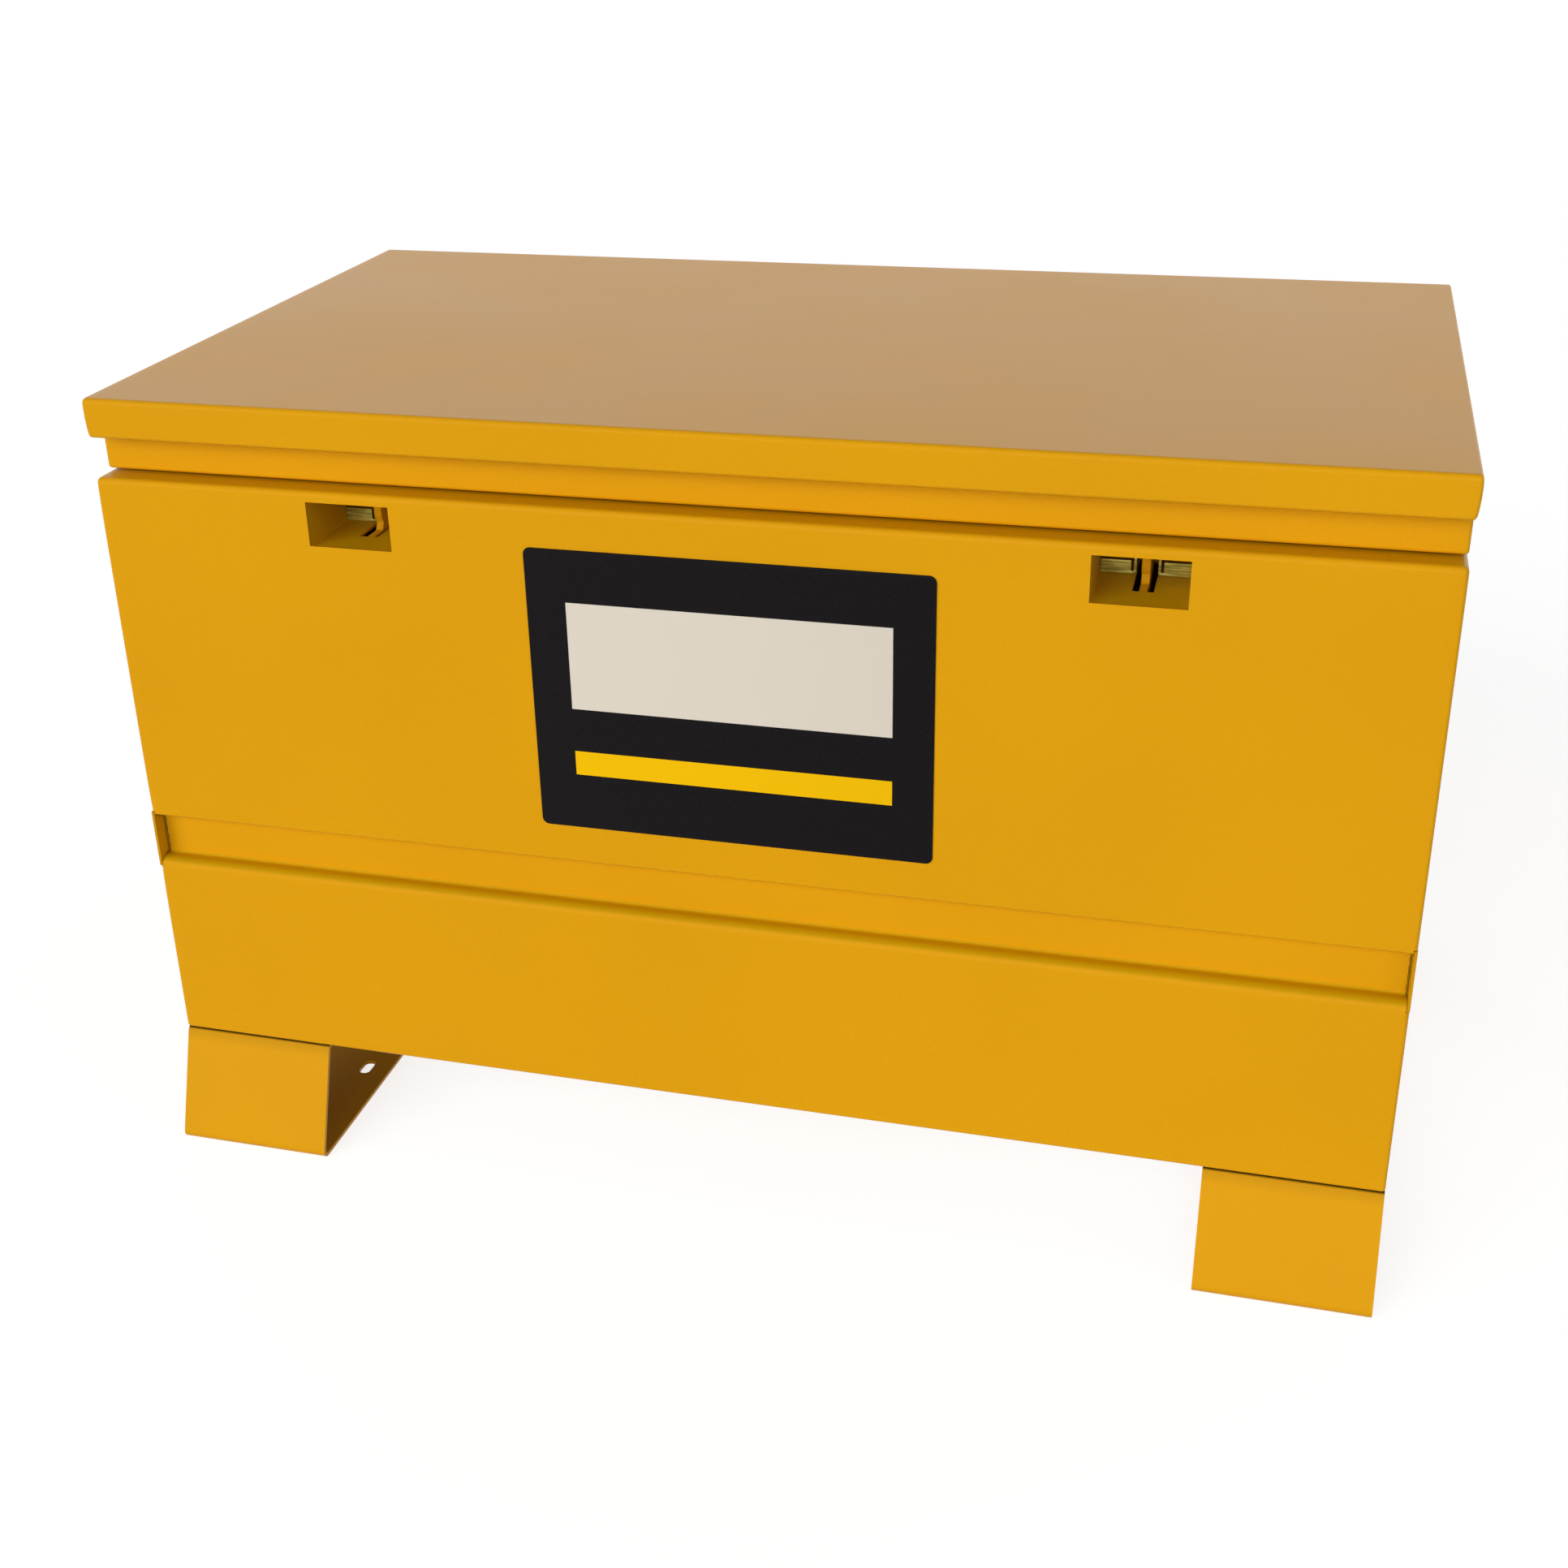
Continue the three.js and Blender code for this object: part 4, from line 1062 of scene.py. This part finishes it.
def tongue(name, side):
    """The lid's lock tongue: a thick plate with a hooked toe, and its foot under the lid."""
    low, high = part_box("right_lock_tongue")
    toe = POCKET_FLOOR - 1.2 * MM
    belly = 5 * MM
    front, back = FRONT + 46 * MM, FRONT + 80 * MM
    top = high.z - TONGUE_FOOT
    rim = rounded([
        (FRONT + 29.6 * MM, toe), (FRONT + 29.6 * MM, toe - 9 * MM), (FRONT + 39.6 * MM, low.z),
        (back, low.z), (back, top), (front, top), (front, toe + 2 * belly), (front + 3 * MM, toe + belly),
        (front, toe),
    ], [1.2 * MM, 2 * MM, 3 * MM, 2 * MM, 0, 0, 4 * MM, 2 * MM, 1.5 * MM], steps=5)
    hole = ring((SHACKLE_Y, SHACKLE_Z), SHACKLE_RADIUS, 36)
    levels = on_side(side, POCKET_X - TONGUE_HALF, POCKET_X + TONGUE_HALF)
    blade = plate(name + "_tongue_blade", "x", [rim, hole], levels, [PAINT], 0.6 * MM)
    foot_low, foot_high = on_side(side, low.x, high.x)
    outline = rounded(box_outline((foot_low, front - 10 * MM), (foot_high, high.y)), 3 * MM)
    foot = plate(name + "_tongue_foot", "z", [outline], (top + HAIR / 2, high.z), [PAINT])
    piece = joined(name + "_lock_tongue_plate", [blade, foot])
    return attach(piece, "lid", "body_paint", name + "_lock_tongue")


def front_label():
    low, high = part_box("front_label")
    outline = rounded(box_outline((low.x, low.z), (high.x, high.z)), 5 * MM, steps=9)
    piece = plate("front_label_film", "y", [outline], (low.y, high.y), [LABEL], 0.12 * MM)
    return attach(piece, "box", "label_film", "front_label")


# Lid

def lid_line():
    band_low = LID_TOP - BAND
    path = [
        (BACK - LID_HEM, LID_LOW), (BACK, LID_LOW), (BACK, LID_TOP), (FRONT, LID_TOP), (FRONT, band_low),
        (FRONT + SKIRT_SETBACK, band_low), (FRONT + SKIRT_SETBACK, LID_LOW),
        (FRONT + SKIRT_SETBACK + LID_HEM, LID_LOW),
    ]
    radii = [TIGHT_BEND, LID_EDGE_BEND, LID_EDGE_BEND, TIGHT_BEND, INSIDE_BEND, TIGHT_BEND]
    return fold_line(path, radii, {1: [LID_TOP - LID_LOW - row for row in LID_ROWS], 3: LID_ROWS})


def lid_half(height):
    """The lid's half width: LID_HALF - LID_DRAW*u*u.

    Down the band u is 0 at LID_WIDEST_SHARE of it and 1 at its low edge, and it stays 1 below.
    """
    down = np.minimum((LID_TOP - height) / BAND, 1)
    return LID_HALF - LID_DRAW * ((down - LID_WIDEST_SHARE) / (1 - LID_WIDEST_SHARE)) ** 2


def lid_sheet():
    line = lid_line()
    face = line[0]
    count = len(face)
    points, keep, _ = wrapped_sheet(line, lid_half(face[:, 1]), np.full(count, CORNER), np.ones(count, bool),
                                    np.full(count, LID_HALF), even_stops(LID_HALF, 13))
    return sheet_piece("lid_sheet", points, SHELL, "lid", "lid_skin", keep, inner_slot=2)


def lid_end(name, side):
    """The lid's end plate: P(z, t) = (half(z), first(z) + t*(last(z) - first(z)), z).

    It lies inside the sheet's section. Its front edge follows the sheet at LID_INSET: up the skirt, round
    the inner fold by an arc of radius INSIDE_BEND + LID_INSET about the fold's centre, and up the band. Both
    lower corners leave the hems free.
    """
    shelf = LID_TOP - BAND
    skirt = FRONT + SKIRT_SETBACK
    arc = np.linspace(0, math.pi / 2, 6)
    around = INSIDE_BEND + LID_INSET
    fold_y = skirt - INSIDE_BEND + around * np.cos(arc)
    fold_z = shelf - INSIDE_BEND + around * np.sin(arc)
    hem = LID_LOW + LID_INSET
    z = np.concatenate([
        [LID_LOW, hem, hem + STEP], fold_z, [fold_z[-1] + STEP], LID_TOP - np.array(LID_ROWS[2::-1]),
        [LID_TOP - LID_EDGE_BEND, LID_TOP - LID_INSET],
    ])
    cut = LID_EDGE_BEND - LID_INSET
    band = FRONT + LID_INSET
    first = np.concatenate([
        [skirt + LID_HEM + SEAM] * 2, [skirt + LID_INSET], fold_y, [band] * 5, [band + cut]])
    last = np.where(z < hem + HAIR / 4, BACK - LID_HEM - SEAM, BACK - LID_INSET)
    last[-1] -= cut
    share = np.array([0, 0.01, 0.25, 0.5, 0.75, 0.99, 1])
    along = first[:, None] + share * (last - first)[:, None]
    points = surface(side * lid_half(z)[:, None], along, z[:, None])
    return sheet_piece(name + "_lid_end_plate", points, PAINTED, "lid", name + "_lid_end", flip=side > 0,
                       edge=0.15 * MM)


def lid_rib():
    """A hat channel under the lid."""
    low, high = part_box("lid_rib")
    top, bottom = high.z - SHEET, low.z
    path = [(-RIB_HALF - RIB_FOOT, top), (-RIB_HALF, top), (-RIB_HALF + RIB_LEAN, bottom),
            (RIB_HALF - RIB_LEAN, bottom), (RIB_HALF, top), (RIB_HALF + RIB_FOOT, top)]
    face, _, _ = fold_line(path, [INSIDE_BEND, BEND, BEND, INSIDE_BEND])
    across = np.array([low.x, low.x + 2 * MM, -150 * MM, 150 * MM, high.x - 2 * MM, high.x])
    points = surface(across, face[:, :1], face[:, 1:])
    return sheet_piece("lid_rib_channel", points, PAINTED, "lid", "lid_rib")


# Long hinge

def hinge_leaf(name, node, body, up, parity):
    """A leaf and its knuckles in one sheet: straight along the back, then curled round the pin."""
    inner = PIN_Y - KNUCKLE_RADIUS
    angle = np.linspace(0, math.radians(KNUCKLE_CURL), 22)
    curl = np.column_stack([PIN_Y - KNUCKLE_RADIUS * np.cos(angle), KNUCKLE_RADIUS * np.sin(angle)])
    edge = KNUCKLE_RADIUS + KNUCKLE_GAP
    rows = (-HINGE_LEAF, -HINGE_LEAF + 2 * MM, -edge - 1.5 * MM, -edge, -0.6 * MM)
    section = np.concatenate([[(inner, row) for row in rows], curl])
    pitch = 2 * HINGE_HALF / KNUCKLES
    edges = np.sort(np.concatenate([
        -HINGE_HALF + pitch * np.arange(KNUCKLES) + KNUCKLE_GAP / 2,
        -HINGE_HALF + pitch * np.arange(1, KNUCKLES + 1) - KNUCKLE_GAP / 2,
    ]))
    edges[0], edges[-1] = -HINGE_HALF, HINGE_HALF
    points = surface(edges, section[:, :1], PIN_Z - up * section[:, 1:])
    keep = np.ones((len(section) - 1, len(edges) - 1), bool)
    number = np.arange(len(edges) - 1)
    keep[3:] = (number % 2 == 0) & (number // 2 % 2 == parity)
    return sheet_piece(name, points, PAINTED, body, node, keep, up < 0, HINGE_SHEET, edge=0.25 * MM)


def hinge_pin():
    low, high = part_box("hinge_pin")
    ends = [low.x, low.x + 0.3 * MM, low.x + 1.2 * MM, high.x - 1.2 * MM, high.x - 0.3 * MM, high.x]
    radius = PIN_RADIUS * np.array([0.72, 0.9, 1, 1, 0.9, 0.72])
    piece = round_across("hinge_pin_rod", ends, radius, (PIN_Y, PIN_Z), 1, 32, [ROD_STEEL])
    return attach(piece, "box", "polished_rod", "hinge_pin")


# Gas struts

def eye(name, x, centre, hole, materials):
    """A round eye across x: a ring, or a full disc where no hole is given."""
    outlines = [ring(centre, EYE_RADIUS, 40)] + ([ring(centre, hole)] if hole else [])
    return plate(name, "x", outlines, (x - EYE_HALF, x + EYE_HALF), materials, 0.8 * MM)


def strut_cylinder(name, side):
    start = 6.7 * MM
    profile = [(r * MM, start + along * MM) for r, along in BARREL_START]
    profile += [(r * MM, TUBE_MOUTH - along * MM) for r, along in BARREL_MOUTH]
    profile.append((6 * MM, start + 12 * MM))
    x = side * STRUT_X
    barrel = turned(name + "_barrel", np.array([x, *STRUT_PIVOT]), STRUT_AIM, profile, [BLACK_PAINT])
    socket = eye(name + "_eye", x, STRUT_PIVOT, STUD_RADIUS + SEAM, [BLACK_PAINT])
    piece = joined(name + "_strut_tube", [barrel, socket])
    return attach(piece, name + "_strut_cylinder", "strut_black", name + "_strut_cylinder")


def strut_rod(name, side):
    inner = TUBE_MOUTH - ROD_INSIDE
    x = side * STRUT_X
    profile = [(3.4 * MM, inner), (ROD_RADIUS, inner + 0.8 * MM)]
    profile += [(r * MM, STRUT_LENGTH - along * MM) for r, along in ROD_END]
    rod = turned(name + "_rod", np.array([x, *STRUT_PIVOT]), STRUT_AIM, profile, [ROD_STEEL])
    end = eye(name + "_rod_eye", x, STRUT_END, 0, [ROD_STEEL])
    piece = joined(name + "_strut_shaft", [rod, end])
    return attach(piece, name + "_strut_rod", "polished_rod", name + "_strut_rod")


def bracket(name, place, body, side, path, radii, pivot, tip):
    """A folded bracket run along y, with its pivot stud across x."""
    label = f"{name}_{place}_bracket"
    face, _, _ = fold_line(path, radii)
    along = np.array([-1, -0.85, 0.85, 1]) * BRACKET_HALF + pivot[0]
    points = surface(side * face[:, :1], along, face[:, 1:])
    faces = grid_faces(*points.shape[:2], flip=side > 0)
    folded = new_mesh(label + "_plate", points, [faces], [ZINC_PLATE, ZINC_PLATE])
    thicken(folded, BRACKET_SHEET, edge=0.4 * MM)
    peg = round_across(label + "_stud", [tip, tip + 0.4 * MM, BRACKET_FACE + BRACKET_SHEET / 2],
                       [STUD_RADIUS - 0.5 * MM, STUD_RADIUS, STUD_RADIUS], pivot, side, 28, [ZINC_PLATE])
    return attach(joined(label, [folded, peg]), body, "zinc_plate", f"{name}_strut_{place}_bracket")


def strut_brackets(name, side):
    web = STRUT_PIVOT[1] - 24 * MM
    wall = HALF - SHEET - SEAM
    outer = BRACKET_FACE + BRACKET_SHEET
    body_path = [(wall, web - 17 * MM), (wall, web), (outer, web), (outer, STRUT_PIVOT[1] + 15 * MM)]
    bracket(name, "body", "box", side, body_path, [BRACKET_SHEET + INSIDE_BEND, INSIDE_BEND], STRUT_PIVOT,
            STRUT_X - EYE_HALF - 1 * MM)
    top = LID_TOP - SHEET - SEAM
    lid_path = [(BRACKET_FACE + 17 * MM, top), (BRACKET_FACE, top), (BRACKET_FACE, STRUT_END[1] - 11 * MM)]
    bracket(name, "lid", "lid", side, lid_path, [INSIDE_BEND], STRUT_END, STRUT_X + EYE_HALF + SEAM)


# Drop handles

def bolt_places():
    y = PLATE_HALF - BOLT_INSET
    return box_outline((-y, PLATE_LOW + BOLT_INSET), (y, PLATE_TOP - BOLT_INSET))


def handle_plate(name, side):
    """The handle's back plate with two strap ears that loop over the bar."""
    outline = rounded(box_outline((-PLATE_HALF, PLATE_LOW), (PLATE_HALF, PLATE_TOP)), 8 * MM, steps=9)
    levels = on_side(side, PLATE_INNER, PLATE_INNER + PLATE_SHEET)
    parts = [plate(name + "_handle_base", "x", [outline], levels, [PAINT], 0.6 * MM)]
    reach = BAIL_RADIUS + SEAM + EAR_WALL
    root = PLATE_INNER + PLATE_SHEET - 0.4 * MM
    path = box_outline((root, HANDLE_Z - reach), (BAIL_X + reach, HANDLE_Z + reach))[::-1]
    face, _, _ = fold_line(path, [reach - HAIR] * 2, steps=10, support=0.3 * MM)
    for low, high in (EAR_SPAN, (-EAR_SPAN[1], -EAR_SPAN[0])):
        along = np.array([low, low + 1.5 * MM, high - 1.5 * MM, high])
        points = surface(side * face[:, :1], along, face[:, 1:])
        faces = grid_faces(*points.shape[:2], flip=side < 0)
        ear = new_mesh(f"{name}_ear_{low:.3f}", points, [faces], [PAINT, PAINT])
        parts.append(thicken(ear, EAR_WALL - HAIR, edge=0.5 * MM))
    return attach(joined(name + "_handle_mount", parts), "box", "body_paint", name + "_handle_plate")


def handle_bail(name, side):
    z, grip = HANDLE_Z, HANDLE_Z - BAIL_DROP
    path = [(-BAIL_PIN, z), (-BAIL_HALF, z), (-BAIL_HALF, grip), (BAIL_HALF, grip), (BAIL_HALF, z),
            (BAIL_PIN, z)]
    flat, out = bar(path, BAIL_RADIUS, BAIL_BEND)
    rings = surface(side * (BAIL_X + out), flat[..., 0], flat[..., 1])
    piece = soften(loft(name + "_handle_bar", rings[::-1] if side > 0 else rings, [PAINT]), 0.8 * MM)
    return attach(piece, name + "_handle", "body_paint", name + "_handle_bail")


def bolt(name, side, number, place):
    """A round-headed bolt through the plate, with a hexagon nut inside: rings of changing radius along x."""
    head = PLATE_INNER + PLATE_SHEET + SEAM
    inside = HALF - SHEET - SEAM
    dome = np.linspace(0, 1, 6) * math.pi / 2
    x = [head, head + 0.4 * MM, *(head + 0.6 * MM + 2.4 * MM * np.sin(dome))]
    radius = [6.3 * MM, 6.5 * MM, *(0.4 * MM + 6.0 * MM * np.cos(dome))]
    cap = round_across("head", x, radius, place, side, 32, [ZINC_PLATE], sharp=40)
    nut_levels, shank_levels = on_side(side, inside - 5 * MM, inside), on_side(side, inside, head)
    nut = plate("nut", "x", [ring(place, 6.5 * MM, 6)], nut_levels, [ZINC_PLATE], 0.5 * MM)
    shank = plate("shank", "x", [ring(place, 3 * MM, 20)], shank_levels, [ZINC_PLATE], 0.2 * MM)
    piece = joined(f"{name}_handle_screw_{number}", [cap, nut, shank])
    return attach(piece, "box", "zinc_plate", f"{name}_handle_bolt_{number}")


# Everything in place

front_panel()
back_panel()
floor_panel()
front_label()
lid_sheet()
lid_rib()
hinge_leaf("hinge_leaf_on_body", "hinge_body_leaf", "box", -1, 0)
hinge_leaf("hinge_leaf_on_lid", "hinge_lid_leaf", "lid", 1, 1)
hinge_pin()
for side_name, side in (("left", -1), ("right", 1)):
    end_panel(side_name, side)
    groove_weld(side_name, side)
    skid(side_name, side)
    pocket(side_name, side)
    keeper(side_name, side, "inner", -1)
    keeper(side_name, side, "outer", 1)
    tongue(side_name, side)
    lid_end(side_name, side)
    strut_cylinder(side_name, side)
    strut_rod(side_name, side)
    strut_brackets(side_name, side)
    handle_plate(side_name, side)
    handle_bail(side_name, side)
    for bolt_number, bolt_place in enumerate(bolt_places(), 1):
        bolt(side_name, side, bolt_number, bolt_place)


# Floor, lamps and camera

def seen_directly(tree):
    """1 for the camera's rays and for those that gloss or glass sends on, 0 for diffuse light."""
    path = tree.nodes.new("ShaderNodeLightPath")
    seen = maths(tree, "MAXIMUM", path.outputs["Is Camera Ray"], path.outputs["Is Glossy Ray"])
    return maths(tree, "MAXIMUM", seen, path.outputs["Is Transmission Ray"])


def world_light(strength):
    """White for the camera and for reflections, softer for diffuse light."""
    world = bpy.data.worlds.new("studio")
    bpy.context.scene.world = world
    world.use_nodes = True
    tree = world.node_tree
    mixed = tree.nodes.new("ShaderNodeMapRange")
    feed(tree, mixed, Value=seen_directly(tree), To_Min=strength, To_Max=1.0)
    feed(tree, tree.nodes["Background"], Color=(1.0, 1.0, 1.0), Strength=mixed.outputs["Result"])


def floor_stage():
    """A wide pale floor that keeps the box's shadow."""
    found, tree, shader = material("studio floor")
    feed(tree, shader, Base_Color=FLOOR_COLOUR, Roughness=0.9, Specular_IOR_Level=0.0)
    glow = tree.nodes.new("ShaderNodeEmission")
    feed(tree, glow, Strength=seen_directly(tree), Color=(FLOOR_GLOW, FLOOR_GLOW, FLOOR_GLOW))
    both = tree.nodes.new("ShaderNodeAddShader")
    plug(tree, both.inputs[0], shader.outputs[0])
    plug(tree, both.inputs[1], glow.outputs[0])
    feed(tree, tree.nodes["Material Output"], Surface=both.outputs[0])
    corners = [(*corner, -HAIR) for corner in box_outline((-FLOOR_REACH,) * 2, (FLOOR_REACH,) * 2)]
    new_mesh("studio_floor", corners, [[[0, 1, 2, 3]]], [found])


def soft_sun(name, toward, spread_angle, strength, glossy):
    """A wide, even light from one direction, like a large soft box far away.

    Gloss shows the white studio, and a lamp only where glossy is true.
    """
    lamp = bpy.data.lights.new(name, "SUN")
    lamp.angle = math.radians(spread_angle)
    lamp.energy = strength
    holder = add_object(name, lamp)
    holder.rotation_euler = Vector(toward).to_track_quat("Z", "Y").to_euler()
    holder.visible_glossy = glossy


def camera():
    data = bpy.data.cameras.new("camera")
    data.lens = CAMERA_LENS
    data.sensor_width = 36.0
    data.shift_x, data.shift_y = CAMERA_SHIFT
    data.clip_start, data.clip_end = 0.05, 200.0
    holder = add_object("camera", data)
    yaw, pitch, roll = (math.radians(angle) for angle in CAMERA_TURNS)
    turn = Matrix.Rotation(yaw, 4, "Z") @ Matrix.Rotation(pitch, 4, "X") @ Matrix.Rotation(roll, 4, "Z")
    holder.matrix_world = Matrix.Translation(CAMERA_PLACE) @ turn
    bpy.context.scene.camera = holder


world_light(WORLD_STRENGTH)
floor_stage()
for lamp in LAMPS:
    soft_sun(*lamp)
camera()
bpy.context.scene.view_settings.view_transform = "Standard"
